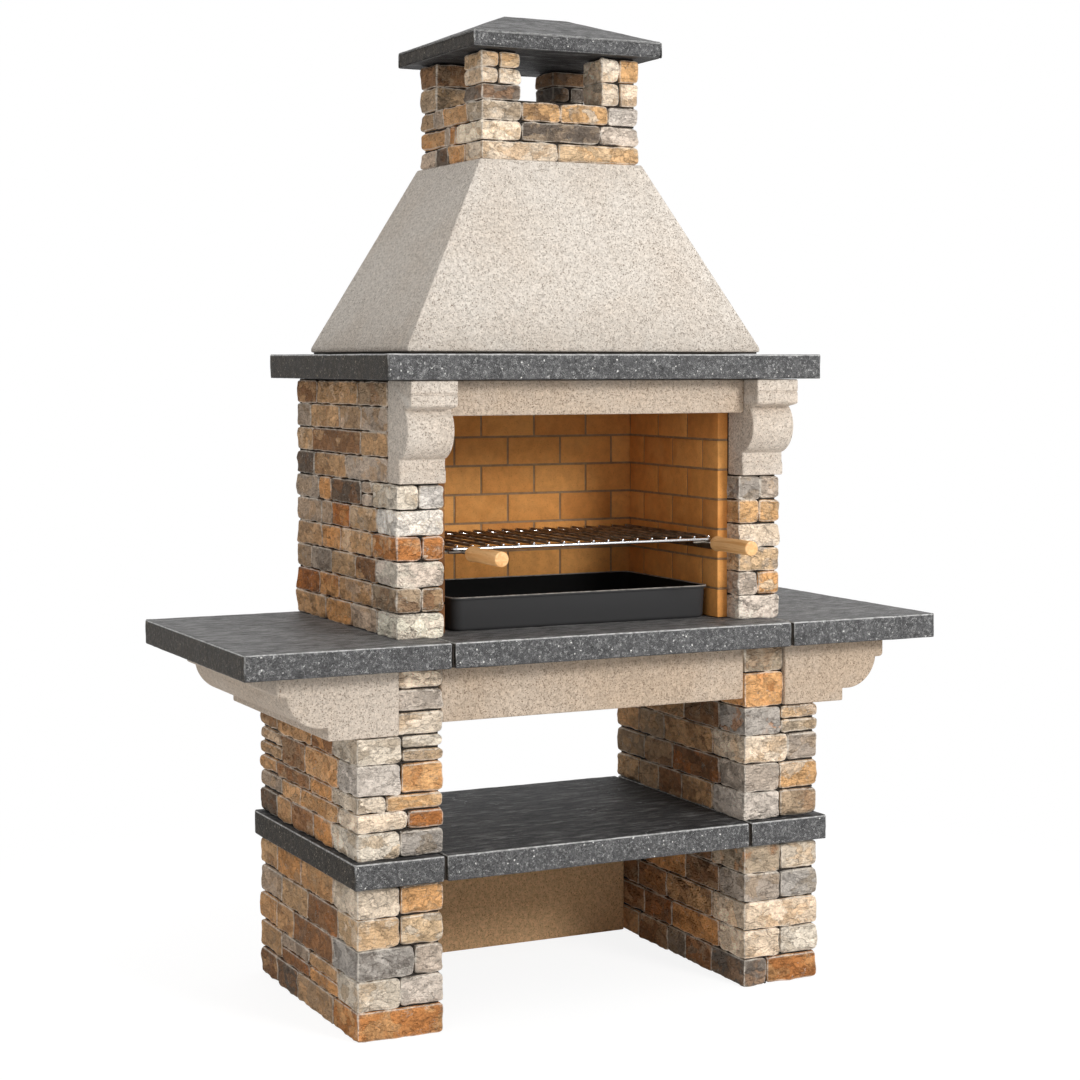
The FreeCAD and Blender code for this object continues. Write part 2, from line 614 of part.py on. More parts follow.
def brick(x, y, z, face_axis, face_at):
    """A firebrick with the arrises of its hot face eased."""
    whole = block(x, y, z)
    edges = [edge for edge in whole.Edges
             if abs(getattr(edge.CenterOfMass, face_axis) - face_at) < SAME_PLACE]
    return whole.makeChamfer(BRICK_CHAMFER, edges)


def brick_courses():
    """Z limits of the bricks, and whether the course is offset."""
    height = (MANTEL_Z - HEARTH_Z) / BRICK_COURSES
    return [((low, high - BRICK_JOINT), row % 2) for row, (low, high)
            in enumerate(levels(HEARTH_Z, [height] * BRICK_COURSES))]


def lining(nodes):
    """Firebricks in mortar on both sides and the rear of the firebox."""
    full_z = (HEARTH_Z, MANTEL_Z)
    for name, side in SIDES.items():
        x = across(side, LINING_HALF, WALL_INNER)
        holes = rail_screws(side, HOLE_CLEARANCE)
        depth = (LINING_FRONT, LINING_BACK + LINING_THICKNESS)
        bricks = []
        for z, odd in brick_courses():
            for y in brick_spans(depth[0], depth[1], odd * BRICK_LENGTH / 2):
                bricks.append(less(brick(x, y, z, "x", side * LINING_HALF), holes))
        mortar = block(across(side, LINING_HALF + BRICK_MORTAR_RECESS, WALL_INNER),
                       (depth[0] + BRICK_MORTAR_RECESS, depth[1]), full_z)
        nodes[name + "_firebricks"] = Part.makeCompound(bricks)
        nodes[name + "_brick_mortar"] = mortar.cut(bricks + holes)
    y = (LINING_BACK, LINING_BACK + LINING_THICKNESS)
    bricks = []
    for z, odd in brick_courses():
        for x in brick_spans(-LINING_HALF, LINING_HALF, odd * BRICK_LENGTH / 2):
            bricks.append(brick(x, y, z, "y", LINING_BACK))
    mortar = block((-LINING_HALF, LINING_HALF), (LINING_BACK + BRICK_MORTAR_RECESS, y[1]), full_z)
    nodes["rear_firebricks"] = Part.makeCompound(bricks)
    nodes["rear_brick_mortar"] = mortar.cut(bricks)


def hood(nodes):
    """The hollow tapered hood on its mortar bed."""
    foot = ((-HOOD_HALF, HOOD_HALF), (HOOD_FRONT, HOOD_BACK))
    half = CHIMNEY_HALF + HOOD_TOP_MARGIN
    head = ((-half, half), (CHIMNEY_FRONT - HOOD_TOP_MARGIN, CHIMNEY_BACK + HOOD_TOP_MARGIN))
    z_low = HOOD_Z + HOOD_BED

    def inward(limits, by):
        (x, y) = limits
        return ((x[0] + by, x[1] - by), (y[0] + by, y[1] - by))

    outer = block(foot[0], foot[1], (z_low, z_low + HOOD_FOOT)).fuse(
        frustum(foot, head, z_low + HOOD_FOOT, CHIMNEY_Z))
    inner = frustum(inward(foot, HOOD_WALL), inward(head, HOOD_WALL), z_low, CHIMNEY_Z)
    nodes["smoke_hood"] = outer.removeSplitter().cut(inner)
    bed = inward(foot, HOOD_BED_INSET)
    gap = inward(foot, HOOD_WALL)
    z = (HOOD_Z, z_low)
    nodes["hood_mortar_bed"] = block(bed[0], bed[1], z).cut(block(gap[0], gap[1], z))


def cap(nodes):
    """The low pyramid slab on the chimney posts."""
    y_mid = (CHIMNEY_FRONT + CHIMNEY_BACK) / 2
    foot = ((-CHIMNEY_HALF - CAP_OVERHANG_X, CHIMNEY_HALF + CAP_OVERHANG_X),
            (CHIMNEY_FRONT - CAP_OVERHANG_Y, CHIMNEY_BACK + CAP_OVERHANG_Y))
    head = ((-CAP_TOP_HALF_X, CAP_TOP_HALF_X), (y_mid - CAP_TOP_HALF_Y, y_mid + CAP_TOP_HALF_Y))
    eaves = CAP_Z + CAP_FASCIA
    fascia = block(foot[0], foot[1], (CAP_Z, eaves))
    nodes["chimney_cap"] = fascia.fuse(frustum(foot, head, eaves, eaves + CAP_RISE)).removeSplitter()


def rail_level():
    """Height of the rails' top faces, just under the grill's frame."""
    return GRILL_LEVEL - FRAME_RADIUS - RAIL_TOP_GAP


def rail_screws(side, spare=0):
    """Two pan-head screws that hold one rail to the bricks, or their holes."""
    face = LINING_HALF - RAIL_GAUGE
    z = rail_level() - RAIL_SCREW_DROP
    screws = []
    for y in (RAIL_FRONT + RAIL_SCREW_INSET, RAIL_BACK - RAIL_SCREW_INSET):
        under_head = Vector(side * face, y, z)
        head = rod(Vector(side * (face - SCREW_HEAD_HEIGHT), y, z), under_head, SCREW_HEAD_RADIUS)
        shank = rod(under_head, Vector(side * (face + SCREW_LENGTH + spare), y, z), SCREW_RADIUS + spare)
        screws.append(head.fuse(shank))
    return screws


def rails(nodes):
    """Steel angles that carry the grill."""
    top = rail_level()
    inner = LINING_HALF - RAIL_WIDTH
    leg = LINING_HALF - RAIL_GAUGE
    screws = []
    for name, side in SIDES.items():
        outline = [(LINING_HALF, top), (inner, top), (inner, top - RAIL_GAUGE), (leg, top - RAIL_GAUGE),
                   (leg, top - RAIL_HEIGHT), (LINING_HALF, top - RAIL_HEIGHT)]
        points = [Vector(side * x, RAIL_FRONT, z) for x, z in outline]
        angle = profile(points, Vector(0, RAIL_BACK - RAIL_FRONT, 0))
        nodes[name + "_grill_rail"] = angle.cut(rail_screws(side, HOLE_CLEARANCE))
        screws += rail_screws(side)
    nodes["rail_screws"] = Part.makeCompound(screws)


def grill_frame():
    """A rod bent round all four sides, with rounded corners."""
    low = Vector(GRILL_SHIFT - GRILL_HALF, GRILL_FRONT, GRILL_LEVEL)
    high = Vector(GRILL_SHIFT + GRILL_HALF, GRILL_BACK, GRILL_LEVEL)
    corners = [Vector(low.x, low.y, low.z), Vector(high.x, low.y, low.z), Vector(high.x, high.y, low.z),
               Vector(low.x, high.y, low.z)]
    pieces = []
    for here, after, last in zip(corners, corners[1:] + corners[:1], corners[-1:] + corners[:-1]):
        ahead = after.sub(here).normalize()
        behind = here.sub(last).normalize()
        pieces.append(rod(here + ahead * FRAME_CORNER, after - ahead * FRAME_CORNER, FRAME_RADIUS))
        start = here - behind * FRAME_CORNER
        ring = Part.Face(Part.Wire(Part.makeCircle(FRAME_RADIUS, start, behind)))
        pieces.append(ring.revolve(start + ahead * FRAME_CORNER, Vector(0, 0, 1), 90))
    return pieces[0].multiFuse(pieces[1:]).removeSplitter()


def grill_bars():
    """Bars from front to back, welded over two cross rods."""
    bar_z = GRILL_LEVEL + FRAME_RADIUS + BAR_RADIUS - WELD
    cross_z = bar_z - BAR_RADIUS - CROSS_RADIUS + 2 * WELD
    first = GRILL_SHIFT - GRILL_HALF + BAR_MARGIN
    pitch = 2 * (GRILL_HALF - BAR_MARGIN) / (BAR_COUNT - 1)
    ends = (GRILL_FRONT - FRAME_RADIUS, GRILL_BACK + FRAME_RADIUS)
    places = [first + pitch * i for i in range(BAR_COUNT)]
    bars = [rod(Vector(x, ends[0], bar_z), Vector(x, ends[1], bar_z), BAR_RADIUS) for x in places]
    reach = (places[0] - BAR_RADIUS, places[-1] + BAR_RADIUS)
    run = GRILL_BACK - GRILL_FRONT
    crosses = [rod(Vector(reach[0], y, cross_z), Vector(reach[1], y, cross_z), CROSS_RADIUS)
               for y in (GRILL_FRONT + run / 3, GRILL_BACK - run / 3)]
    return crosses[0].multiFuse(crosses[1:] + bars)


def handle_level():
    """Height of the handles, whose stems are welded under the frame's front rod."""
    return GRILL_LEVEL - FRAME_RADIUS - STEM_FOOT_RADIUS + WELD


def turned_handle(x):
    """A turned wooden handle with a bead at its rear end, bored for its stem."""
    z = handle_level()

    def at(y, r):
        return Vector(x, y, z + r)

    soft = HANDLE_ROUNDING
    bend = soft * (1 - 2 ** -0.5)
    neck = HANDLE_REAR - HANDLE_BEAD_LENGTH
    swell = HANDLE_REAR - HANDLE_BEAD_LENGTH * 0.4
    edges = [
        Part.makeLine(at(HANDLE_REAR, 0), at(HANDLE_REAR, HANDLE_HEEL)),
        Part.Arc(at(HANDLE_REAR, HANDLE_HEEL), at(swell, HANDLE_BEAD), at(neck, HANDLE_NECK)).toShape(),
        Part.makeLine(at(neck, HANDLE_NECK), at(HANDLE_TIP + soft, HANDLE_RADIUS)),
        Part.Arc(at(HANDLE_TIP + soft, HANDLE_RADIUS), at(HANDLE_TIP + bend, HANDLE_RADIUS - bend),
                 at(HANDLE_TIP, HANDLE_RADIUS - soft)).toShape(),
        Part.makeLine(at(HANDLE_TIP, HANDLE_RADIUS - soft), at(HANDLE_TIP, 0)),
        Part.makeLine(at(HANDLE_TIP, 0), at(HANDLE_REAR, 0)),
    ]
    turned = Part.Face(Part.Wire(edges)).revolve(at(HANDLE_REAR, 0), Vector(0, 1, 0), 360)
    bore = rod(at(HANDLE_REAR, 0), at(HANDLE_REAR - HANDLE_BORE_DEPTH, 0), STEM_RADIUS)
    return turned.cut(bore)


def grill(nodes):
    """Frame, bars, stems, ferrules and wooden handles."""
    nodes["grill_frame"] = grill_frame()
    nodes["grill_bars"] = grill_bars()
    z = handle_level()
    ferrules = []
    for name, x in HANDLE_PLACES.items():
        tip = Vector(x, HANDLE_REAR - HANDLE_BORE_DEPTH, z)
        foot = rod(Vector(x - STEM_FOOT_HALF, GRILL_FRONT, z), Vector(x + STEM_FOOT_HALF / 2, GRILL_FRONT, z),
                   STEM_FOOT_RADIUS)
        nodes[name + "_handle_stem"] = rod(Vector(x, GRILL_FRONT, z), tip, STEM_RADIUS).fuse(foot)
        nodes[name + "_handle"] = turned_handle(x)
        start = Vector(x, HANDLE_REAR, z)
        end = Vector(x, HANDLE_REAR + FERRULE_LENGTH, z)
        ferrules.append(rod(start, end, FERRULE_RADIUS).cut(rod(start, end, STEM_RADIUS)))
    nodes["handle_ferrules"] = Part.makeCompound(ferrules)


def rounded_plate(x, y, z, radius):
    """An upright block with rounded corners."""
    whole = block(x, y, z)
    upright = [edge for edge in whole.Edges if abs(edge.BoundBox.ZLength - (z[1] - z[0])) < SAME_PLACE]
    return whole.makeFillet(radius, upright)


def rounded_ring(x, y, z, radius):
    """The outline of a rounded rectangle at one height."""
    plate = rounded_plate(x, y, (z, z + 1), radius)
    bottom = min(plate.Faces, key=lambda face: face.CenterOfMass.z)
    return bottom.OuterWire


def tray(nodes):
    """A pressed steel pan with steep walls and a turned-down rim."""
    base = HEARTH_Z + TRAY_LIFT
    top = base + TRAY_HEIGHT
    x = (TRAY_SHIFT - TRAY_HALF, TRAY_SHIFT + TRAY_HALF)
    y = (TRAY_FRONT, TRAY_BACK)

    def inward(by):
        return (x[0] + by, x[1] - by), (y[0] + by, y[1] - by)

    def pan(extra, z_low):
        low = rounded_ring(*inward(TRAY_RIM + TRAY_BASE_INSET + extra), z_low, TRAY_CORNER - extra)
        high = rounded_ring(*inward(TRAY_RIM + extra), top, TRAY_CORNER - extra)
        return Part.makeLoft([low, high], True, True)

    rim = rounded_plate(x, y, (top - TRAY_RIM_DROP, top), TRAY_CORNER + TRAY_RIM)
    under = rounded_plate(*inward(TRAY_GAUGE), (top - TRAY_RIM_DROP, top - TRAY_GAUGE),
                          TRAY_CORNER + TRAY_RIM - TRAY_GAUGE)
    hollow = pan(TRAY_GAUGE, base + TRAY_GAUGE)
    nodes["ember_tray"] = rim.cut(under).fuse(pan(0, base)).cut(hollow)


def main():
    os.makedirs("parts", exist_ok=True)
    nodes = {}
    for name, side in SIDES.items():
        lower_pier(nodes, name, side)
        upper_pier(nodes, name, side)
        firebox_wall(nodes, name, side)
    slabs(nodes)
    cast_stone(nodes)
    lining(nodes)
    hood(nodes)
    chimney(nodes)
    cap(nodes)
    rails(nodes)
    grill(nodes)
    tray(nodes)
    for name, shape in nodes.items():
        shape.translate(Vector(0, -DEPTH_CENTRE, 0))
        valid = all(solid.isValid() for solid in shape.Solids)
        print(name, len(shape.Solids), "solids", "" if valid else "INVALID")
        shape.exportStep("parts/" + name + ".step")


main()
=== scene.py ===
import json
import math
import random

import bmesh
import bpy
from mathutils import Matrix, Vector


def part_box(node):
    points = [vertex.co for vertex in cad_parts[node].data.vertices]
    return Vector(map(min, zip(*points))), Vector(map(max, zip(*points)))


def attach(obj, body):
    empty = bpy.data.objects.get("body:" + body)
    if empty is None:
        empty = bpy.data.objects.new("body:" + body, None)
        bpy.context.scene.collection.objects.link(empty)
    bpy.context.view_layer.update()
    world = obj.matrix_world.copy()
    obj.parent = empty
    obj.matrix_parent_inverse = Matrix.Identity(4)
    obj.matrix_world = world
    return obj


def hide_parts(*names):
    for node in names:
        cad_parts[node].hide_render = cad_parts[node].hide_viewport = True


# A masonry barbecue: split-face stones, dark riven slabs, cast stone, firebricks, a chromed grill and a black
# tray. Metres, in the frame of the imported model: X runs across, Y runs back, Z is up.

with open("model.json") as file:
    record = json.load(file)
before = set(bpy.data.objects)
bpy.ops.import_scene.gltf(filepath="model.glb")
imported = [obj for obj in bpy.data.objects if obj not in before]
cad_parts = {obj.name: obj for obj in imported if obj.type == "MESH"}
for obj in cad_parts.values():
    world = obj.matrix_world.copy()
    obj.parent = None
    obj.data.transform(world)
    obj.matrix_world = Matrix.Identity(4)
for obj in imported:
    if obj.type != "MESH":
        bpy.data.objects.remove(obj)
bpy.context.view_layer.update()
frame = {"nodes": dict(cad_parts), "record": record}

# The photograph's camera
CAMERA_PLACE = (-2.3533, -4.7373, 1.4881)
CAMERA_YAW = 26.268
CAMERA_PITCH = 1.651
CAMERA_LENS = 73.5
CAMERA_SENSOR = 36
CAMERA_SHIFT = -0.105

# Lamps, each with its place, size, power and colour, and the floor that takes the shadow
LAMPS = {
    "key": ((2.0, -5.6, 3.1), 1.6, 230, (1, 0.99, 0.97)),
    "fill": ((-3.8, -3.4, 1.9), 2.5, 22, (1, 0.94, 0.86)),
}
LAMP_TARGET = (0, 0, 1.1)
FLOOR_SIZE = 40
SHADOW_FADE = (0.9, 2.2)

# Stones: cells of the mesh, bevels, pale strips along edges (partly wear, partly painted highlight, less on
# the lower edges), rounded corners and the depth of their relief
STONE_CELL = 0.008
STONE_LET_OUT = 0.0005
STONE_ARRIS = 0.0028
STONE_ARRIS_REACH = 0.0034
STONE_HIGHLIGHT_UNDER = 0.8
STONE_CORNER = 0.011
STONE_WAVES = 0.003
STONE_SCOOPS = 0.007
STONE_CHIPS = 0.0025
STONE_OUTLINE = 0.0022
FACE_FALL = 0.012
# How far front stones and stones that show no front are made darker and warmer; the larger side amount is
# painted shade on the side faces
FRONT_WARMTH = 0.012
SIDE_SHADE_WARMTH = 0.08

# Bricks, slabs and cast stone, in the same way
BRICK_CELL = 0.03
BRICK_ARRIS = 0.0012
BRICK_LET_OUT = 0.0003
BRICK_TINTS = [(222, 153, 80), (214, 144, 71), (226, 160, 87), (208, 138, 68), (218, 150, 77)]
# A dark tint for the front bricks of the left lining: painted shade
SHADED_BRICK = (120, 78, 42)
SLAB_CELL = 0.012
SLAB_ARRIS = 0.005
SLAB_ARRIS_REACH = 0.0054
SLAB_HIGHLIGHT_UNDER = 0.2
SLAB_CORNER = 0.012
SLAB_RIVEN = 0.0014
SLAB_EDGE_RIVEN = 0.0024
SLAB_SWELL = 0.0015
CAST_ARRIS = 0.004

# Nearest places that still count as one
SAME_PLANE = 0.0026
SAME_LEVEL = 0.001
SAME_POINT = 0.00002

# Back of the firebox, mantel opening and cap
REAR_Y = 0.373
HEARTH_Z = 0.881
OPENING_X = (-0.34, 0.34)
OPENING_Y = (-0.183, 0.205)
CAP_FASCIA = 0.038
CAP_TOP = (0.166, 0.08)
CAP_CUTS = 27

# Grill and tray
BAR_COUNT = 18
BAR_RADIUS = 0.003
BAR_SIDES = 16
BAR_SMOKE = 0.01
BAR_SMOKE_EDGE = (0.007, 0.014)
FRAME_RADIUS = 0.004
HANDLE_SIDES = 48
TRAY_RIM = 0.005
TRAY_RIM_DROP = 0.006
TRAY_CORNER = 0.024
TRAY_FOOT = 0.007
TRAY_GAUGE = 0.0025
TRAY_EDGE = 0.001
TRAY_TAPER = 0.008
TRAY_DARK_LINE = 0.002
TRAY_DARK_EDGE = (0.0018, 0.0022)

# A handle's radius at each distance from its rear end, in millimetres
HANDLE_TURNING = [
    (0, 12.2), (1, 13.6), (4, 15.8), (8, 17.4), (12, 18.1), (17, 18.0), (22, 17.4), (27, 16.7), (30, 16.4),
    (60, 16.6), (100, 16.9), (140, 17.1), (162, 17.2), (163.6, 16.9), (164.6, 16.1), (165, 14.9),
]

# Stone tints as 8-bit screen colours, each with the tint that usually stains it
STONE_TINTS = {
    "w": ((246, 236, 224), "l"),
    "c": ((243, 227, 206), "t"),
    "t": ((218, 186, 148), "o"),
    "o": ((222, 174, 122), "r"),
    "r": ((190, 128, 76), "b"),
    "b": ((156, 122, 92), "k"),
    "k": ((186, 166, 142), "t"),
    "g": ((188, 178, 168), "k"),
    "l": ((220, 210, 200), "g"),
    "d": ((124, 114, 105), "b"),
}
UNSEEN_TINTS = "ctttoorrbbkkgggld"

# Tints of the stones that show, one word for each stone: its tint, then its stain. Each string is a course,
# lowest first. Fronts run from left to right, and sides run from front to back, after the corner stone.
STONE_COURSES = {
    "left_footing_stones": {"front": ["ro"], "left": ["kt d bt"]},
    "left_lower_pier_stones": {
        "front": ["ct l", "gd gl", "tc tc", "ck ot"],
        "left": ["ob tk br gk tk", "bd tb t", "br tk g", "to ok tb"],
    },
    "right_footing_stones": {"front": ["d ro"], "left": ["bg g b"]},
    "right_lower_pier_stones": {
        "front": ["ct ck", "c", "gk g", "kr ct"],
        "left": ["ob br b", "tb bo b", "bk ob k", "b k b"],
    },
    "left_upper_pier_stones": {
        "front": ["ct g", "cw r", "ck ot", "l o", "ck kt ck", "ct", "gl", "ck"],
        "left": ["ok bk tb d", "ot tk g", "ot bk t", "to bk tk", "bo tk kb"],
    },
    "right_upper_pier_stones": {
        "front": ["lw kb", "gl oc", "ct g", "gr k tg", "or", "kb"],
        "left": ["tb bk kt tk", "br kb k", "tb kt tk", "b tk k", "b t k", "t b k"],
    },
    "left_firebox_wall_stones": {
        "front": ["w", "kb bt", "lw", "rt rc", "wc", "ct lw"],
        "left": ["lk ot tk", "tl or rb", "bt tc gd kg", "tc ot kt", "tc ro g gk", "l g db ot gk", "lt tb d",
                 "tk bt tc", "lt kl tb g", "kb tc bt"],
    },
    "right_firebox_wall_stones": {"front": ["lw", "gl oc", "tg", "cw", "or ot", "gk g"]},
    "chimney_stones": {
        "front": ["ct tok", "ct dk l", "kc ob oc l"],
        "left": ["tob d", "or g", "to g"],
    },
}
# The back right post's dark tints are painted shade inside the chimney
POST_TINTS_AND_SHADE = {"front_left": "d c ct tc t", "front_right": "ct c c o", "back_left": "kt bk",
              "back_right": "d db d bd"}

# The CAD nodes that pieces stand for. Cast pieces have a tone each, from pale to deep; the deep tones of the
# beams, the lintel and the right bracket are partly painted shade.
FACINGS = [f"{side}_{part}_stones" for part in ("footing", "lower_pier", "upper_pier", "firebox_wall")
           for side in ("left", "right")] + ["chimney_stones", "chimney_post_stones"]
PLAIN_SLABS = [f"{level}_slab_{place}" for level in ("shelf", "worktop")
               for place in ("left", "middle", "right")]
CAST_PIECES = {
    "cast_stone": {
        "smoke_hood": 0.2, "chimney_flue_liner": 0.5, "left_console": 0.4, "right_console": 0.4,
        "lintel": 0.85, "front_beam": 0.9, "rear_beam": 0.9, "left_wing_bracket": 0.6,
        "right_wing_bracket": 0.95,
    },
    "render_panel": {"lower_back_panel": 0.5, "rear_firebox_wall": 0.5},
}
LININGS = ["left_firebricks", "right_firebricks", "rear_firebricks"]
ROUND_STEEL = {"grill_frame": "grill_chrome", "handle_ferrules": "grill_chrome",
               "left_handle_stem": "stem_steel", "right_handle_stem": "stem_steel"}

chance = random.Random(11)


def screen(red, green, blue):
    """A screen colour, in 8-bit steps, as the linear colour that a shader takes."""
    return tuple((c / 255 / 12.92) if c < 11 else ((c / 255 + 0.055) / 1.055) ** 2.4
                 for c in (red, green, blue)) + (1,)


# Meshes

def open_mesh():
    bpy.ops.object.mode_set(mode="EDIT")


def close_mesh():
    bpy.ops.object.mode_set(mode="OBJECT")


def take_all():
    bpy.ops.mesh.select_all(action="SELECT")


def take_none():
    bpy.ops.mesh.select_all(action="DESELECT")


def only(piece):
    """Leaves one object selected and active."""
    bpy.ops.object.select_all(action="DESELECT")
    piece.select_set(True)
    bpy.context.view_layer.objects.active = piece


def put_in_scene(name, data):
    """A new object in the scene."""
    thing = bpy.data.objects.new(name, data)
    bpy.context.scene.collection.objects.link(thing)
    return thing


def begin_piece(name):
    """An empty mesh at the origin, open in edit mode."""
    piece = put_in_scene(name, bpy.data.meshes.new(name))
    only(piece)
    open_mesh()
    return piece


def copy_of(node, name):
    """A merged copy of a CAD node's loose triangles."""
    piece = put_in_scene(name, frame["nodes"][node].data.copy())
    piece.data.name = name
    only(piece)
    open_mesh()
    take_all()
    bpy.ops.mesh.remove_doubles(threshold=SAME_POINT)
    close_mesh()
    return piece


def solid_boxes(node):
    """The lowest and highest corners of each separate solid in a CAD node."""
    copy_of(node, "loose_" + node)
    open_mesh()
    take_all()
    bpy.ops.mesh.separate(type="LOOSE")
    close_mesh()
    boxes = []
    for solid in bpy.context.selected_objects:
        corners = [v.co for v in solid.data.vertices]
        low = Vector(min(c[axis] for c in corners) for axis in range(3))
        high = Vector(max(c[axis] for c in corners) for axis in range(3))
        boxes.append((low, high))
        bpy.data.meshes.remove(solid.data)
    return sorted(boxes, key=lambda box: tuple(round(v, 4) for v in (*box[0], *box[1])))


def box_at(low, high):
    """Adds a box between two corners to the mesh that is open."""
    bpy.ops.mesh.primitive_cube_add(size=1, location=(low + high) / 2, scale=high - low)


def pick(piece, kind, wanted):
    """Selects the edges or faces of an open mesh that a test accepts."""
    take_none()
    bpy.ops.mesh.select_mode(type={"edges": "EDGE", "faces": "FACE"}[kind])
    mesh = bmesh.from_edit_mesh(piece.data)
    for element in getattr(mesh, kind):
        element.select_set(bool(wanted(element)))
    mesh.select_flush_mode()
    bmesh.update_edit_mesh(piece.data)


def along(edge, axis):
    """Whether an edge runs along an axis."""
    run = edge.verts[1].co - edge.verts[0].co
    return abs(run[axis]) > 0.99 * run.length


def cut_across(axis, places):
    """Cuts the open mesh straight across an axis at each place."""
    for place in places:
        take_all()
        bpy.ops.mesh.bisect(plane_co=[place * (i == axis) for i in range(3)],
                            plane_no=[float(i == axis) for i in range(3)])


def cut_to_cells(piece, cell):
    """Cuts the upright, lengthwise and crosswise edges of an open mesh into cells of about one size."""
    for axis in range(3):
        while True:
            mesh = bmesh.from_edit_mesh(piece.data)
            cuts = {edge: round(edge.calc_length() / cell) - 1 for edge in mesh.edges if along(edge, axis)}
            most = max(cuts.values())
            if most < 1:
                break
            take_none()
            for edge, count in cuts.items():
                edge.select_set(count == most)
            bmesh.update_edit_mesh(piece.data)
            bpy.ops.mesh.subdivide(number_cuts=most)


def take_off_arrises(width, segments=2):
    """Bevels the sharp edges of the open mesh."""
    take_none()
    bpy.ops.mesh.select_mode(type="EDGE")
    bpy.ops.mesh.edges_select_sharp(sharpness=math.radians(30))
    bpy.ops.mesh.bevel(offset=width, segments=segments, affect="EDGES")


def roughen(piece, texture, strength, middle=0.5, group="", direction="NORMAL"):
    """Moves the surface in and out by a texture."""
    modifier = piece.modifiers.new(texture.name, "DISPLACE")
    modifier.texture = texture
    modifier.texture_coords = "LOCAL"
    modifier.strength = strength
    modifier.mid_level = middle
    modifier.vertex_group = group
    modifier.direction = direction


def apply_modifiers(piece):
    only(piece)
    for modifier in list(piece.modifiers):
        bpy.ops.object.modifier_apply(modifier=modifier.name)


def soften(piece, degrees):
    """Shades a piece smooth, except across edges sharper than an angle."""
    only(piece)
    bpy.ops.object.shade_smooth_by_angle(angle=math.radians(degrees))


def store(piece, name, values, kind="FLOAT", field="value"):
    """Stores a value, colour or place at each point of a mesh."""
    piece.data.attributes.new(name, kind, "POINT").data.foreach_set(field, values)


def hand_over(piece, slot, nodes, body="masonry"):
    """Gives a piece its finish and the body that it moves with, and hides the CAD nodes that it stands for.
    """
    piece.data.materials.clear()
    piece.data.materials.append(finishes[slot])
    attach(piece, body)
    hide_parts(*nodes)


# Textures that shape surfaces

def clouds(name, size, depth):
    """Soft swells and hollows."""
    texture = bpy.data.textures.new(name, "CLOUDS")
    texture.noise_scale = size
    texture.noise_depth = depth
    return texture


def scoops(name, size):
    """Hollows that meet in sharp ridges."""
    texture = bpy.data.textures.new(name, "VORONOI")
    texture.noise_scale = size
    texture.distance_metric = "DISTANCE_SQUARED"
    return texture


split_waves = clouds("split_waves", 0.06, 2)
split_scoops = scoops("split_scoops", 0.042)
split_chips = scoops("split_chips", 0.021)
uneven_outline = clouds("uneven_outline", 0.06, 1)
uneven_outline.cloud_type = "COLOR"
riven_slab = clouds("riven_slab", 0.03, 3)
slab_swell = clouds("slab_swell", 0.3, 1)


# Shader nodes

class Nodes:
    """Short calls for adding nodes to a tree and joining them."""

    def __init__(self, tree):
        self.tree = tree

    def add(self, kind, inputs=None, **settings):
        node = self.tree.nodes.new("ShaderNode" + kind)
        for name, value in settings.items():
            setattr(node, name, value)
        for name, value in (inputs or {}).items():
            self.put(node.inputs[name], value)
        return node

    def put(self, socket, value):
        if isinstance(value, bpy.types.NodeSocket):
            self.tree.links.new(value, socket)
        else:
            socket.default_value = value

    def mix(self, factor, a, b, blend="MIX"):
        node = self.add("Mix", {0: factor, 6: a, 7: b}, data_type="RGBA", blend_type=blend)
        return node.outputs[2]

    def shade(self, colour, value, low, high, deep, pale):
        """Darkens and lightens a colour by a value."""
        return self.mix(1, colour, self.ramp(value, low, high, deep, pale), "MULTIPLY")

    def math(self, operation, a, b=0.0):
        return self.add("Math", {0: a, 1: b}, operation=operation).outputs[0]

    def times(self, first, *others):
        """A product of values."""
        for other in others:
            first = self.math("MULTIPLY", first, other)
        return first

    def vector(self, operation, a, b):
        node = self.add("VectorMath", {0: a, "Scale" if operation == "SCALE" else 1: b}, operation=operation)
        return node.outputs["Value" if operation == "DOT_PRODUCT" else "Vector"]

    def weighted(self, *pairs):
        """A sum of values, each with its weight."""
        total = 0.0
        for value, weight in pairs:
            total = self.math("ADD", total, self.times(value, weight))
        return total

    def ramp(self, value, low, high, floor=0.0, ceiling=1.0):
        """Maps a range of a value smoothly on to another."""
        node = self.add("MapRange", {"Value": value, "From Min": low, "From Max": high, "To Min": floor,
                                     "To Max": ceiling}, interpolation_type="SMOOTHSTEP")
        return node.outputs["Result"]

    def parts(self, vector):
        """The X, Y and Z of a vector."""
        return self.add("SeparateXYZ", {"Vector": vector}).outputs

    def direction(self):
        """The way that the mesh itself faces, as X, Y and Z."""
        return self.parts(self.add("NewGeometry").outputs["True Normal"])

    def place(self, stretch=(1, 1, 1), turn=(0, 0, 0)):
        """Object coordinates, turned and stretched."""
        coords = self.add("TexCoord").outputs["Object"]
        if stretch == (1, 1, 1) and turn == (0, 0, 0):
            return coords
        return self.add("Mapping", {"Vector": coords, "Scale": stretch, "Rotation": turn}).outputs["Vector"]

    def stored(self, name, result="Fac"):
        """What is stored at the points of the mesh."""
        return self.add("Attribute", attribute_name=name).outputs[result]

    def noise(self, scale, detail=3.0, rough=0.5, place=None, warp=0.0, result="Fac"):
        node = self.add("TexNoise", {"Vector": place or self.place(), "Scale": scale, "Detail": detail,
                                     "Roughness": rough, "Distortion": warp})
        return node.outputs[result]

    def thread(self, value, width):
        """Thin lines where a noise passes through its middle."""
        return self.ramp(self.math("ABSOLUTE", self.math("SUBTRACT", value, 0.5)), 0.0, width, 1, 0)

    def group(self, tree, inputs):
        return self.add("Group", inputs, node_tree=tree).outputs


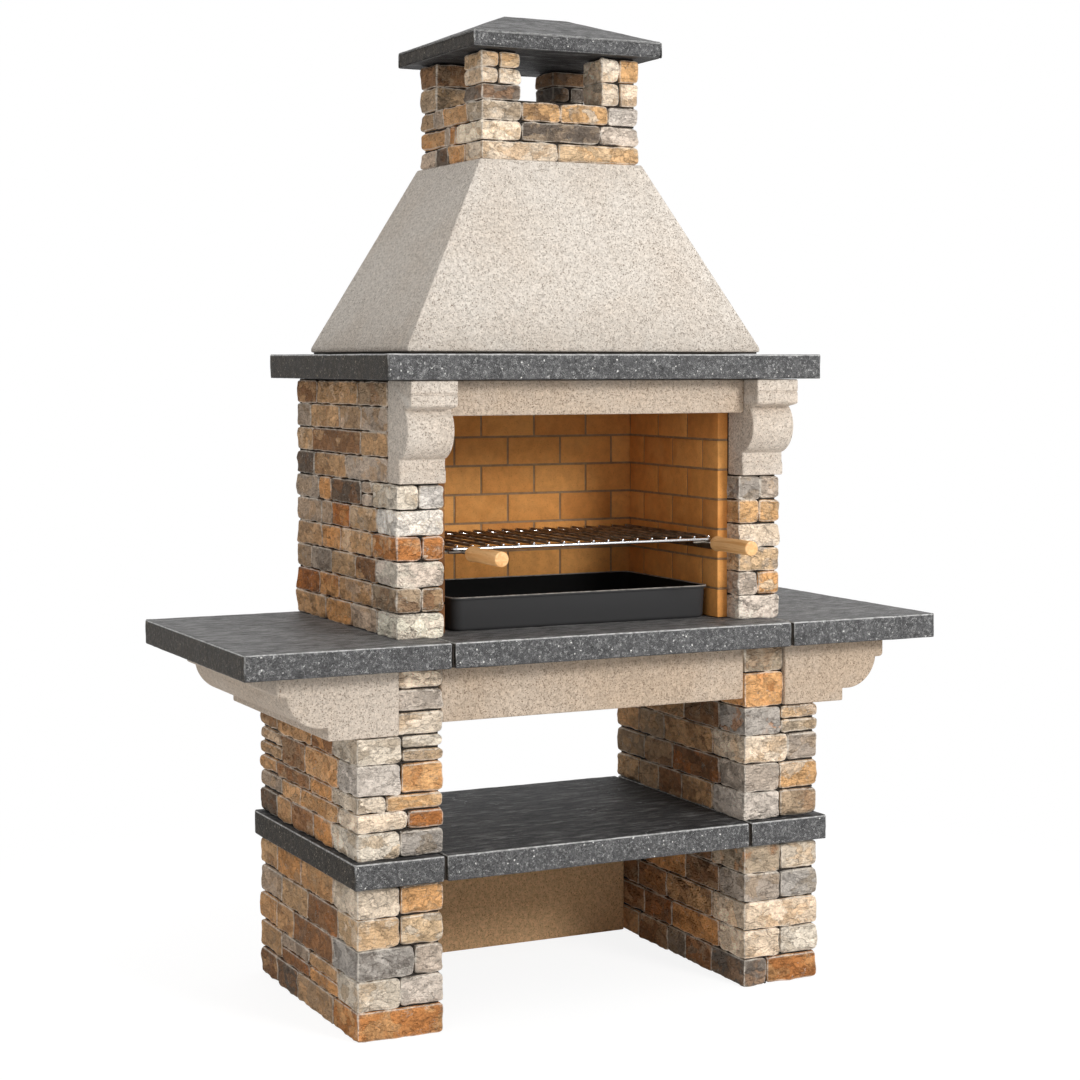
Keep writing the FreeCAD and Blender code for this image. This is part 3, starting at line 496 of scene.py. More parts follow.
def new_group(name, takes, gives):
    """An empty shader group with its sockets, and its inner nodes for joining."""
    tree = bpy.data.node_groups.new(name, "ShaderNodeTree")
    for label, (kind, value) in takes.items():
        socket = tree.interface.new_socket(label, in_out="INPUT", socket_type="NodeSocket" + kind)
        socket.default_value = value
    for label, kind in gives.items():
        tree.interface.new_socket(label, in_out="OUTPUT", socket_type="NodeSocket" + kind)
    nodes = Nodes(tree)
    entry = tree.nodes.new("NodeGroupInput").outputs
    leave = tree.nodes.new("NodeGroupOutput").inputs
    return tree, nodes, entry, leave


def grain_group():
    """Mineral grain at two sizes, and the height that goes with it."""
    tree, nodes, entry, leave = new_group(
        "mineral_grain", {"Scale": ("Float", 100.0)}, {"Fine": "Float", "Broad": "Float", "Height": "Float"})
    fine = nodes.noise(entry["Scale"], 6, 0.7)
    broad = nodes.noise(nodes.times(entry["Scale"], 0.14), 4, 0.6)
    nodes.put(leave["Fine"], fine)
    nodes.put(leave["Broad"], broad)
    nodes.put(leave["Height"], nodes.weighted((fine, 0.45), (broad, 0.55)))
    return tree


def split_group():
    """Split rock as a height, a colour for each facet and lines: tilted facets, creases, ledges and grit,
    with lines of painted shade in the creases and under the ledges.
    """
    tree, nodes, entry, leave = new_group(
        "split_rock", {"Place": ("Vector", (0, 0, 0)), "Scale": ("Float", 24.0)},
        {"Height": "Float", "Facet": "Color", "Crease Shade": "Float"})
    middle = (0.5, 0.5, 0.5)
    scale = entry["Scale"]
    place = nodes.vector("MULTIPLY", entry["Place"], (1, 1, 1.5))
    push = nodes.noise(nodes.times(scale, 1.3), 4, 0.6, place, result="Color")
    push = nodes.vector("SCALE", nodes.vector("SUBTRACT", push, middle), nodes.math("DIVIDE", 1.2, scale))
    bent = nodes.vector("ADD", place, push)
    tilts = []
    for finer in (2.7, 1):
        size = nodes.times(scale, finer)
        cells = nodes.add("TexVoronoi", {"Vector": bent, "Scale": size}).outputs
        lean = nodes.vector("SUBTRACT", cells["Color"], middle)
        run = nodes.vector("SCALE", nodes.vector("SUBTRACT", bent, cells["Position"]), size)
        tilts.append(nodes.vector("DOT_PRODUCT", lean, run))
    edge = nodes.add("TexVoronoi", {"Vector": bent, "Scale": scale}, feature="DISTANCE_TO_EDGE")
    broken = nodes.ramp(nodes.noise(nodes.times(scale, 1.7), 3, 0.6, place), 0.5, 0.62)
    crease = nodes.times(nodes.ramp(edge.outputs["Distance"], 0.0, 0.06, 1, 0), broken)
    grit = nodes.noise(nodes.times(scale, 8), 5, 0.65, place)
    along_bed = nodes.vector("MULTIPLY", entry["Place"], (1, 1, 2.2))
    level = nodes.times(nodes.noise(nodes.times(scale, 0.55), 4, 0.55, along_bed, 0.5), 9)
    whole = nodes.math("FLOOR", level)
    rise = nodes.ramp(nodes.math("SUBTRACT", level, whole), 0.8, 1)
    ledge = nodes.math("ADD", whole, rise)
    # The underside of each ledge, which the finish darkens as painted shadow
    under = nodes.times(rise, nodes.math("SUBTRACT", 1, rise), 1.6)
    height = nodes.weighted((tilts[1], 1.15), (tilts[0], 0.4), (ledge, 0.13), (crease, -0.08), (grit, 0.1))
    nodes.put(leave["Height"], height)
    nodes.put(leave["Facet"], cells["Color"])
    nodes.put(leave["Crease Shade"], nodes.math("MAXIMUM", crease, under))
    return tree


def worn_group():
    """Edges made paler by how far the surface is convex: partly wear, partly painted highlight."""
    tree, nodes, entry, leave = new_group(
        "worn_highlit_arris", {"Color": ("Color", (0.5, 0.5, 0.5, 1)), "Worn Highlit Color": ("Color", (0.8, 0.8, 0.8, 1)),
                       "Start": ("Float", 0.53), "Full": ("Float", 0.62), "Amount": ("Float", 0.5)},
        {"Color": "Color"})
    edge = nodes.ramp(nodes.add("NewGeometry").outputs["Pointiness"], entry["Start"], entry["Full"])
    broken = nodes.ramp(nodes.noise(160, 3, 0.6), 0.3, 0.6, 0.4, 1)
    mask = nodes.times(edge, broken, entry["Amount"])
    nodes.put(leave["Color"], nodes.mix(mask, entry["Color"], entry["Worn Highlit Color"]))
    return tree


def speck_group():
    """Scattered specks or pits with uneven outlines, as a mask."""
    tree, nodes, entry, leave = new_group(
        "specks", {"Scale": ("Float", 120.0), "Radius": ("Float", 0.25), "Share": ("Float", 0.4)},
        {"Mask": "Float"})
    scale, radius = entry["Scale"], entry["Radius"]
    place = nodes.place()
    push = nodes.noise(nodes.times(scale, 1.6), 2, 0.5, place, result="Color")
    bent = nodes.vector("ADD", place, nodes.vector("SCALE", push, nodes.math("DIVIDE", 0.8, scale)))
    cells = nodes.add("TexVoronoi", {"Vector": bent, "Scale": scale}).outputs
    speck = nodes.ramp(cells["Distance"], nodes.times(radius, 0.6), radius, 1, 0)
    drawn = nodes.add("SeparateColor", {"Color": cells["Color"]}).outputs[0]
    nodes.put(leave["Mask"], nodes.times(speck, nodes.math("LESS_THAN", drawn, entry["Share"])))
    return tree


grain = grain_group()
split_rock = split_group()
worn_and_highlit = worn_group()
specks = speck_group()


# Finishes

def bare_nodes(owner):
    """The emptied node tree of a material or a world."""
    owner.use_nodes = True
    owner.node_tree.nodes.clear()
    return Nodes(owner.node_tree)


def new_finish(name):
    """An empty material, and its nodes for joining."""
    material = bpy.data.materials.new(name)
    return material, bare_nodes(material)


def surface(nodes, colour, rough, height, distance, strength=1.0, specular=0.5, metallic=0.0):
    """Joins a finish to its shader, with a height that raises the shading."""
    relief = nodes.add("Bump", {"Height": height, "Distance": distance, "Strength": strength})
    shader = nodes.add("BsdfPrincipled", {
        "Base Color": colour, "Roughness": rough, "Metallic": metallic, "Specular IOR Level": specular,
        "Normal": relief.outputs["Normal"]})
    nodes.add("OutputMaterial", {"Surface": shader.outputs["BSDF"]})


def facing_stone():
    """Split stone: facets in the stone's tint and stain, each made lighter or darker as painted light and
    shade, creases and ledges with painted shade, ridges with painted highlights, grit, and pale edges that
    are partly wear, partly painted highlight.
    """
    material, nodes = new_finish("facing_stone")
    place = nodes.stored("own_place", "Vector")
    rock = nodes.group(split_rock, {"Place": place, "Scale": 24.0})
    facet = nodes.add("SeparateColor", {"Color": rock["Facet"]}).outputs
    ragged = nodes.noise(20, 5, 0.68, place, 0.6)
    patch = nodes.ramp(nodes.weighted((facet[0], 0.3), (ragged, 0.7)), 0.48, 0.64, 0, 0.62)
    colour = nodes.mix(patch, nodes.stored("stone_tint", "Color"), nodes.stored("stone_stain", "Color"))
    # Each facet made lighter or darker: painted light and shade on the facets
    colour = nodes.shade(colour, facet[1], 0.0, 1.0, 0.9, 1.2)
    colour = nodes.shade(colour, nodes.noise(75, 4, 0.7, place), 0.3, 0.7, 0.92, 1.12)
    colour = nodes.shade(colour, nodes.noise(330, 3, 0.7, place), 0.32, 0.68, 0.86, 1.16)
    # Thin pale lines along the ridges: painted highlights
    ridge_highlight = nodes.times(nodes.thread(nodes.noise(34, 3, 0.6, place, 1.4), 0.02),
                        nodes.ramp(nodes.noise(40, 2, 0.5, place), 0.5, 0.62))
    colour = nodes.mix(nodes.times(ridge_highlight, 0.4), colour, (0.92, 0.86, 0.77, 1))
    # Dark lines in the creases and under the ledges: painted shade
    colour = nodes.mix(nodes.times(rock["Crease Shade"], 0.36), colour, (0.13, 0.08, 0.05, 1))
    # Pale edges, less on lower edges: partly wear, partly painted highlight
    worn_highlit_edge = nodes.times(nodes.ramp(nodes.stored("arris"), 0.05, 0.6),
                            nodes.ramp(nodes.noise(90, 3, 0.6, place), 0.3, 0.6, 0.65, 1))
    colour = nodes.mix(worn_highlit_edge, colour, nodes.mix(0.7, colour, (0.95, 0.88, 0.78, 1)))
    surface(nodes, colour, 0.9, nodes.weighted((rock["Height"], 1), (ridge_highlight, 0.05)), 0.029, specular=0.2)
    return material


def dark_slab():
    """Anthracite stone: curled pale threads and flecks on riven edges, streaks and clefts on smooth tops,
    painted light on high tops, painted shade on low tops, undersides and sideways ends, and pale upper edges
    that are partly wear, partly painted highlight.
    """
    material, nodes = new_finish("dark_slab")
    normal = nodes.direction()
    flat = nodes.ramp(nodes.math("ABSOLUTE", normal["Z"]), 0.5, 0.9)
    edge = nodes.math("SUBTRACT", 1, flat)
    side_shade = nodes.ramp(nodes.math("ABSOLUTE", normal["X"]), 0.6, 0.9)
    body = nodes.group(grain, {"Scale": 260.0})
    colour = nodes.mix(nodes.ramp(body["Broad"], 0.3, 0.7), screen(72, 72, 73), screen(98, 98, 99))
    # High tops take a paler tone as painted light, low tops and undersides a darker one as painted shade
    height = nodes.parts(nodes.place())["Z"]
    painted_light_mask = nodes.times(nodes.ramp(height, 0.5, 0.8), nodes.ramp(normal["Z"], -0.6, -0.4))
    painted_shade_tone = nodes.mix(0.74, colour, screen(24, 24, 25))
    painted_light_tone = nodes.mix(0.45, colour, screen(126, 125, 124))
    colour = nodes.mix(flat, colour, nodes.mix(painted_light_mask, painted_shade_tone, painted_light_tone))
    streak = nodes.noise(30, 7, 0.72, nodes.place((0.3, 1.3, 1), (0, 0, 0.12)), 0.5)
    pale = nodes.times(nodes.ramp(streak, 0.44, 0.72, 0, 0.7), flat)
    colour = nodes.mix(pale, colour, screen(134, 133, 133))
    scuff = nodes.noise(85, 5, 0.75, nodes.place((0.3, 1, 1), (0, 0, 0.5)), 0.3)
    colour = nodes.mix(flat, colour, nodes.shade(colour, scuff, 0.36, 0.66, 0.46, 1.7))
    curls = nodes.noise(210, 1, 0.5, None, 2.4)
    colour = nodes.mix(edge, colour, nodes.shade(colour, curls, 0.34, 0.66, 0.5, 1.6))
    thread = nodes.math("MAXIMUM", nodes.thread(nodes.noise(150, 1, 0.5, None, 1.8), 0.04),
                        nodes.thread(nodes.noise(72, 1, 0.5, None, 2.2), 0.026))
    here = nodes.ramp(nodes.noise(120, 2, 0.6), 0.48, 0.6, 0.06, 1)
    colour = nodes.mix(nodes.times(thread, here, edge, 0.75), colour, screen(212, 212, 211))
    fleck = nodes.group(specks, {"Scale": 125.0, "Radius": 0.28, "Share": 0.08})["Mask"]
    colour = nodes.mix(nodes.times(fleck, nodes.ramp(edge, 0, 1, 0.05, 1)), colour, screen(238, 237, 234))
    # Ends that face sideways are made darker and browner as painted shade
    shaded = nodes.mix(1, colour, (0.42, 0.36, 0.29, 1), "MULTIPLY")
    colour = nodes.mix(nodes.times(side_shade, edge), colour, shaded)
    cleft = nodes.noise(3.4, 5, 0.55, nodes.place((0.5, 1.6, 1), (0, 0, 0.25)), 0.3)
    line = nodes.times(nodes.thread(cleft, 0.0045), flat)
    here = nodes.ramp(nodes.noise(7, 2, 0.5), 0.44, 0.56)
    line_colour = nodes.mix(here, screen(26, 26, 27), screen(176, 176, 178))
    colour = nodes.mix(nodes.times(line, 0.7), colour, line_colour)
    # Pale edges, strongest on upward faces: partly wear, partly painted highlight
    rubbed_and_highlit = nodes.times(nodes.ramp(nodes.stored("arris"), 0.05, 0.6),
                         nodes.ramp(nodes.noise(90, 4, 0.65), 0.35, 0.6, 0.4, 1),
                         nodes.ramp(normal["Z"], 0.0, 0.4, 0.45, 1))
    colour = nodes.mix(rubbed_and_highlit, colour, screen(222, 222, 221))
    rough = nodes.weighted((nodes.ramp(body["Broad"], 0.2, 0.8, 0.42, 0.56), 1), (edge, 0.16),
                           (nodes.math("SUBTRACT", 1, painted_light_mask), 0.12))
    relief = nodes.weighted((body["Height"], 1), (streak, 1.2), (scuff, 0.5), (line, -0.5), (thread, 0.12))
    surface(nodes, colour, rough, relief, 0.0045, specular=0.26)
    return material


def cast_finish(name, pale, deep, speck):
    """Cast stone: two tones mixed by each piece's tone, which is partly painted shade, with brown grit, short
    marks and pale edges that are partly wear, partly painted highlight.
    """
    material, nodes = new_finish(name)
    body = nodes.group(grain, {"Scale": 300.0})
    drift = nodes.ramp(nodes.noise(4.5, 4, 0.6), 0.35, 0.68, -0.12, 0.12)
    # Each piece's tone, partly painted shade, moves the colour towards the deep one
    colour = nodes.mix(nodes.math("ADD", nodes.stored("tone"), drift), pale, deep)
    gritty = nodes.mix(0.6, colour, speck)
    colour = nodes.mix(nodes.ramp(body["Fine"], 0.46, 0.66, 0, 0.6), colour, gritty)
    colour = nodes.shade(colour, nodes.noise(110, 4, 0.7), 0.3, 0.7, 0.87, 1.18)
    marks = nodes.times(nodes.thread(nodes.noise(230, 2, 0.5, None, 1.2), 0.05),
                        nodes.ramp(nodes.noise(200, 2, 0.5), 0.54, 0.62))
    small = nodes.group(specks, {"Scale": 230.0, "Radius": 0.34, "Share": 0.55})["Mask"]
    large = nodes.group(specks, {"Scale": 105.0, "Radius": 0.2, "Share": 0.2})["Mask"]
    dots = nodes.math("MAXIMUM", nodes.math("MAXIMUM", small, large), nodes.times(marks, 0.6))
    colour = nodes.mix(nodes.times(dots, 0.7), colour, speck)
    # Pale convex edges: partly wear, partly painted highlight
    edge = nodes.group(worn_and_highlit, {"Color": colour, "Worn Highlit Color": nodes.mix(0.5, colour, (0.95, 0.92, 0.86, 1)),
                              "Start": 0.54, "Full": 0.6, "Amount": 0.6})
    relief = nodes.weighted((body["Height"], 1), (dots, -0.5))
    surface(nodes, edge["Color"], 0.92, relief, 0.0036, 0.8, specular=0.2)
    return material


def firebrick():
    """Ochre firebrick with a tint for each brick."""
    material, nodes = new_finish("firebrick")
    place = nodes.stored("own_place", "Vector")
    mottle = nodes.noise(40, 5, 0.65, place)
    colour = nodes.shade(nodes.stored("brick_tint", "Color"), mottle, 0.3, 0.7, 0.88, 1.08)
    cloud = nodes.noise(9, 3, 0.6, place)
    colour = nodes.mix(nodes.ramp(cloud, 0.45, 0.7, 0, 0.3), colour, screen(240, 178, 104))
    grit = nodes.noise(260, 4, 0.7, place)
    colour = nodes.mix(nodes.ramp(grit, 0.52, 0.72, 0, 0.4), colour, screen(150, 84, 34))
    surface(nodes, colour, 0.85, nodes.weighted((mottle, 0.6), (grit, 0.4)), 0.0016, 0.6)
    return material


def mortar(name, pale, deep, coat=None):
    """Sandy mortar between two tones, under a coat of render on the bare back of the firebox."""
    material, nodes = new_finish(name)
    body = nodes.group(grain, {"Scale": 420.0})
    colour = nodes.mix(nodes.ramp(body["Height"], 0.3, 0.7), deep, pale)
    if coat:
        place = nodes.parts(nodes.place())
        bare = nodes.times(nodes.math("GREATER_THAN", nodes.direction()["Y"], 0.9),
                           nodes.math("GREATER_THAN", place["Y"], REAR_Y),
                           nodes.math("GREATER_THAN", place["Z"], HEARTH_Z))
        colour = nodes.mix(bare, colour, nodes.shade(coat, body["Fine"], 0.3, 0.7, 0.85, 1.1))
    surface(nodes, colour, 0.95, body["Fine"], 0.002, 0.8)
    return material


def metal(name, colour, dull, rough):
    """Steel with fine scuffs in its polish."""
    material, nodes = new_finish(name)
    body = nodes.group(grain, {"Scale": 300.0})
    colour = nodes.mix(nodes.ramp(body["Broad"], 0.4, 0.75), colour, dull)
    polish = nodes.ramp(body["Fine"], 0.3, 0.7, *rough)
    surface(nodes, colour, polish, body["Fine"], 0.0003, 0.3, metallic=1.0)
    return material


def grill_chrome():
    """Chrome, browned by smoke on the bars between their ends."""
    material, nodes = new_finish("grill_chrome")
    smoke = nodes.stored("smoke")
    body = nodes.group(grain, {"Scale": 240.0})
    browned = nodes.mix(nodes.ramp(body["Broad"], 0.35, 0.7), screen(96, 80, 66), screen(146, 126, 108))
    colour = nodes.mix(smoke, screen(214, 214, 216), browned)
    surface(nodes, colour, nodes.ramp(smoke, 0, 1, 0.2, 0.5), body["Fine"], 0.0003, 0.3,
            metallic=nodes.ramp(smoke, 0, 1, 1, 0.45))
    return material


def tray_enamel():
    """Satin black paint, paler along the rim as wear and painted highlight, and darker inside below the rim.
    """
    material, nodes = new_finish("tray_enamel")
    body = nodes.group(grain, {"Scale": 380.0})
    # The pale rim: partly wear, partly painted highlight
    rim = nodes.times(nodes.stored("rubbed_and_highlit"), nodes.ramp(nodes.noise(60, 3, 0.6), 0.3, 0.6, 0.3, 0.7))
    # The inside below the rim is darker
    dark_inside = nodes.stored("darkened")
    colour = nodes.mix(dark_inside, screen(60, 60, 61), screen(12, 12, 12))
    colour = nodes.mix(rim, colour, screen(176, 170, 162))
    rough = nodes.weighted((nodes.ramp(body["Fine"], 0.3, 0.7, 0.38, 0.46), 1), (dark_inside, 0.4))
    surface(nodes, colour, rough, body["Fine"], 0.0002, 0.3, specular=0.12)
    return material


def handle_wood():
    """Pale turned beech with its grain along the handle."""
    material, nodes = new_finish("handle_wood")
    lengthwise = nodes.place((1, 0.07, 1))
    fibre = nodes.noise(420, 4, 0.6, lengthwise)
    ring = nodes.noise(95, 3, 0.5, lengthwise, 0.6)
    colour = nodes.mix(nodes.ramp(ring, 0.35, 0.65), screen(240, 192, 134), screen(222, 166, 104))
    colour = nodes.mix(nodes.ramp(fibre, 0.52, 0.72, 0, 0.5), colour, screen(180, 122, 68))
    surface(nodes, colour, nodes.ramp(fibre, 0.3, 0.7, 0.42, 0.58), fibre, 0.0006, 0.4)
    return material


finishes = {
    "facing_stone": facing_stone(),
    "core_mortar": mortar("core_mortar", screen(52, 44, 37), screen(30, 26, 22), screen(224, 186, 144)),
    "dark_slab": dark_slab(),
    "cast_stone": cast_finish("cast_stone", screen(221, 214, 205), screen(193, 173, 152),
                              screen(112, 88, 66)),
    "render_panel": cast_finish("render_panel", screen(238, 200, 156), screen(222, 180, 134),
                                screen(140, 102, 66)),
    "firebrick": firebrick(),
    "brick_mortar": mortar("brick_mortar", screen(172, 142, 108), screen(138, 110, 80)),
    "hidden_steel": metal("hidden_steel", screen(150, 150, 150), screen(110, 106, 100), (0.4, 0.6)),
    "rail_steel": metal("rail_steel", screen(120, 118, 114), screen(80, 76, 72), (0.45, 0.65)),
    "grill_chrome": grill_chrome(),
    "stem_steel": metal("stem_steel", screen(120, 112, 104), screen(78, 72, 66), (0.35, 0.5)),
    "handle_wood": handle_wood(),
    "tray_enamel": tray_enamel(),
}


def finish_cad_nodes():
    """Every CAD node takes the finish of its slot, also those that a piece then stands for."""
    slots = {part["node"]: part["material_slot"] for part in frame["record"]["subparts"]}
    for name, node in frame["nodes"].items():
        node.data.materials.clear()
        node.data.materials.append(finishes[slots[name]])


# Laid blocks

def laid_blocks(name, boxes, cell, arris):
    """Blocks laid in place as one mesh, cut into cells, with the number of its block at each point."""
    piece = begin_piece(name)
    for low, high in boxes:
        box_at(low, high)
    close_mesh()
    store(piece, "block", [float(i // 8) for i in range(8 * len(boxes))])
    open_mesh()
    take_off_arrises(arris)
    cut_to_cells(piece, cell)
    close_mesh()
    return piece


def numbered_points(piece):
    """The points of laid blocks, each with the number of its block."""
    return list(zip(piece.data.vertices, (round(item.value) for item in piece.data.attributes["block"].data)))


def paint(piece, attribute, colours):
    """Stores a colour for each block at its points."""
    tones = [screen(*colour) for colour in colours]
    values = [c for point, number in numbered_points(piece) for c in tones[number]]
    store(piece, attribute, values, "FLOAT_COLOR", "color")


def give_own_places(piece, count):
    """Stores coordinates that start somewhere else in every block, so that no pattern crosses a joint."""
    shifts = [Vector(chance.uniform(-9, 9) for axis in range(3)) for block in range(count)]
    values = [c for point, number in numbered_points(piece) for c in point.co + shifts[number]]
    store(piece, "own_place", values, "FLOAT_VECTOR", "vector")


def mark_arrises(piece, placed, reach, under):
    """Stores how near each point is to an edge of its box, scaled down on its lower half, since the pale
    edges made from it are partly painted highlight.
    """
    values = []
    for point, (low, high) in placed:
        away = [min(abs(point.co[axis] - low[axis]), abs(high[axis] - point.co[axis])) for axis in range(3)]
        upper = 1 if point.co.z > (low.z + high.z) / 2 else under
        values.append(upper * max(0, 1 - sorted(away)[1] / reach))
    store(piece, "arris", values)


# Facing stones

def course_levels(boxes):
    """Heights at which courses start. A thin stone laid on another starts none."""
    starts = sorted(low.z for low, high in boxes)
    levels = []
    for z in starts:
        together = sum(abs(z - other) < SAME_LEVEL for other in starts)
        if together > 2 and (not levels or z - levels[-1] > SAME_LEVEL):
            levels.append(z)
    return levels


def shown_sides(box, planes):
    """The sides of a stone that lie in the wall's own faces."""
    return [side for side, (axis, end, at) in planes.items() if abs(box[end][axis] - at) < SAME_PLANE]


def wall_planes(boxes):
    """The outer faces of stonework, as axis, end of the stone's box and place."""
    planes = {}
    for side, axis, end in (("front", 1, 0), ("left", 0, 0), ("right", 0, 1), ("back", 1, 1)):
        places = [box[end][axis] for box in boxes]
        planes[side] = (axis, end, max(places) if end else min(places))
    return planes


def tint_words(name, boxes, planes):
    """One tint word for each stone, by its course and the side that it shows."""
    levels = course_levels(boxes)
    words = {}
    rows = {}
    for index, box in enumerate(boxes):
        sides = shown_sides(box, planes)
        middle = (box[0].z + box[1].z) / 2
        course = sum(level < middle for level in levels) - 1
        side = sides[0] if sides else "none"
        rows.setdefault((side, course), []).append(index)
    for (side, course), members in sorted(rows.items()):
        axis = 0 if side in ("front", "back") else 1
        members.sort(key=lambda index: (round(boxes[index][0][axis], 3), boxes[index][0].z))
        courses = STONE_COURSES.get(name, {}).get(side, [])
        given = courses[course].split() if 0 <= course < len(courses) else []
        for place, index in enumerate(members):
            words[index] = given[place] if place < len(given) else chance.choice(UNSEEN_TINTS)
    return [words[index] for index in range(len(boxes))]


def post_words(boxes):
    """Tint words for the stones of the four chimney posts; the dark words of the back right post are painted
    shade.
    """
    middle = sum((low.y + high.y) / 2 for low, high in boxes) / len(boxes)
    words = {}
    for post, tints in POST_TINTS_AND_SHADE.items():
        depth, side = post.split("_")
        members = [index for index, (low, high) in enumerate(boxes)
                   if ((low.y + high.y) / 2 < middle) == (depth == "front")
                   and ((low.x + high.x) / 2 < 0) == (side == "left")]
        members.sort(key=lambda index: (round(boxes[index][0].z, 3), boxes[index][0].x))
        words.update(zip(members, tints.split()))
    return [words.get(index, "t") for index in range(len(boxes))]


def post_planes(boxes):
    """The four faces of each chimney post."""
    planes = {}
    for axis in (0, 1):
        for end in (0, 1):
            for at in sorted({round(box[end][axis], 4) for box in boxes}):
                planes[f"post_{axis}_{end}_{at}"] = (axis, end, at)
    return planes


def tint_pair(word, shade_warmth):
    """The tint and stain that a word names, each a little off so that no two stones are alike, and made
    darker and warmer by the amount given: painted shade, strongest on stones that show no front.
    """
    tint, usual = STONE_TINTS[word[0]]
    stain = STONE_TINTS[word[1] if len(word) > 1 else usual][0]
    lift = chance.uniform(0.95, 1.07) - 1.5 * shade_warmth
    warm = shade_warmth + chance.uniform(-0.025, 0.025)
    return [[min(255, c * lift * (1 + warm * turn)) for c, turn in zip(colour, (1, 0, -1))]
            for colour in (tint, stain)]


def let_out(box, sides):
    """A stone's box let out into its joints, but not past the faces that show or the ground."""
    spare = Vector((STONE_LET_OUT,) * 3)
    low, high = box[0] - spare, box[1] + spare
    for axis, end, at in sides:
        (low, high)[end][axis] = box[end][axis]
    low.z = max(low.z, STONE_LET_OUT)
    return low, high


def rounded(run, other, radius):
    """How far a point in a square corner reaches along one way, once the corner is round."""
    return run * math.sqrt(1 - (other / radius) ** 2 / 2)


def round_corners(piece, boxes, sides):
    """Rounds the corners of the faces that show, in their plane, but not where front and left side meet."""
    for point, number in numbered_points(piece):
        low, high = boxes[number]
        shown = {(axis, end) for axis, end, at in sides[number]}
        for face in {axis for axis, end in shown}:
            axes = [axis for axis in range(3) if axis != face]
            middles = [(low[axis] + high[axis]) / 2 for axis in axes]
            cores = [(high[axis] - low[axis]) / 2 - STONE_CORNER for axis in axes]
            past = [abs(point.co[axis] - middle) - core for axis, middle, core in zip(axes, middles, cores)]
            shared = {(0, 0), (1, 0)} <= shown and point.co[axes[0]] < middles[0]
            if min(past) > 0 and not shared:
                for axis, middle, core, run, other in zip(axes, middles, cores, past, reversed(past)):
                    reach = core + rounded(run, other, STONE_CORNER)
                    point.co[axis] = middle + math.copysign(reach, point.co[axis] - middle)


def mark_faces(piece, boxes, sides):
    """A vertex group that is full on the faces that show and falls away round their edges."""
    group = piece.vertex_groups.new(name="shown")
    weights = {}
    for point, number in numbered_points(piece):
        nearest = min((abs(point.co[axis] - boxes[number][end][axis]) for axis, end, at in sides[number]),
                      default=FACE_FALL)
        weights.setdefault(round(max(0, 1 - nearest / FACE_FALL), 2), []).append(point.index)
    for weight, points in weights.items():
        group.add(points, weight, "REPLACE")


def facing(node):
    """Split-face stones with rounded corners, bevelled edges that the finish makes pale as wear and painted
    highlight, and uneven outlines.
    """
    boxes = solid_boxes(node)
    posts = node == "chimney_post_stones"
    planes = post_planes(boxes) if posts else wall_planes(boxes)
    if "firebox" in node:
        del planes["back"]
    words = post_words(boxes) if posts else tint_words(node, boxes, planes)
    sides = [[planes[side] for side in shown_sides(box, planes)] for box in boxes]
    boxes = [let_out(box, shown) for box, shown in zip(boxes, sides)]
    piece = laid_blocks(node.replace("stones", "facing"), boxes, STONE_CELL, STONE_ARRIS)
    # Stones that show no front take the stronger painted shade: darker and warmer
    pairs = [tint_pair(word, FRONT_WARMTH if (1, 0) in {plane[:2] for plane in shown} else SIDE_SHADE_WARMTH)
             for word, shown in zip(words, sides)]
    paint(piece, "stone_tint", [pair[0] for pair in pairs])
    paint(piece, "stone_stain", [pair[1] for pair in pairs])
    give_own_places(piece, len(boxes))
    placed = [(point, boxes[number]) for point, number in numbered_points(piece)]
    mark_arrises(piece, placed, STONE_ARRIS_REACH, STONE_HIGHLIGHT_UNDER)
    mark_faces(piece, boxes, sides)
    round_corners(piece, boxes, sides)
    roughen(piece, split_waves, STONE_WAVES, 0.5, "shown")
    roughen(piece, split_scoops, STONE_SCOOPS, 0.25, "shown")
    roughen(piece, split_chips, STONE_CHIPS, 0.25, "shown")
    roughen(piece, uneven_outline, STONE_OUTLINE, 0.5, "", "RGB_TO_XYZ")
    apply_modifiers(piece)
    for point in piece.data.vertices:
        point.co.z = max(point.co.z, 0)
        if "firebox" in node:
            point.co.y = min(point.co.y, REAR_Y)
    piece.data.attributes.remove(piece.data.attributes["block"])
    soften(piece, 50)
    hand_over(piece, "facing_stone", [node])


# Slabs

def round_plan_corner(piece, corner, inward):
    """Rounds an upright corner of a slab, seen from above."""
    centre = corner + inward * SLAB_CORNER
    for point in piece.data.vertices:
        run = [(centre[axis] - point.co[axis]) * inward[axis] for axis in (0, 1)]
        if min(run) > 0:
            for axis in (0, 1):
                reach = rounded(run[axis], run[1 - axis], SLAB_CORNER)
                point.co[axis] = centre[axis] - inward[axis] * reach


def rive(piece, node, low, high, ends=()):
    """Marks a slab's arrises, rounds the corners at its free ends and roughens it, its edges most."""
    close_mesh()
    placed = [(point, (low, high)) for point in piece.data.vertices]
    mark_arrises(piece, placed, SLAB_ARRIS_REACH, SLAB_HIGHLIGHT_UNDER)
    for x, across in ends:
        for y, way in ((low.y, 1), (high.y, -1)):
            round_plan_corner(piece, Vector((x, y, 0)), Vector((across, way, 0)))
    edges = piece.vertex_groups.new(name="edges")
    edges.add([point.index for point in piece.data.vertices if abs(point.normal.z) < 0.8], 1, "REPLACE")
    roughen(piece, riven_slab, SLAB_RIVEN, 1)
    roughen(piece, riven_slab, SLAB_EDGE_RIVEN, 1, "edges")
    roughen(piece, slab_swell, SLAB_SWELL, 1)
    apply_modifiers(piece)
    soften(piece, 50)
    hand_over(piece, "dark_slab", [node])


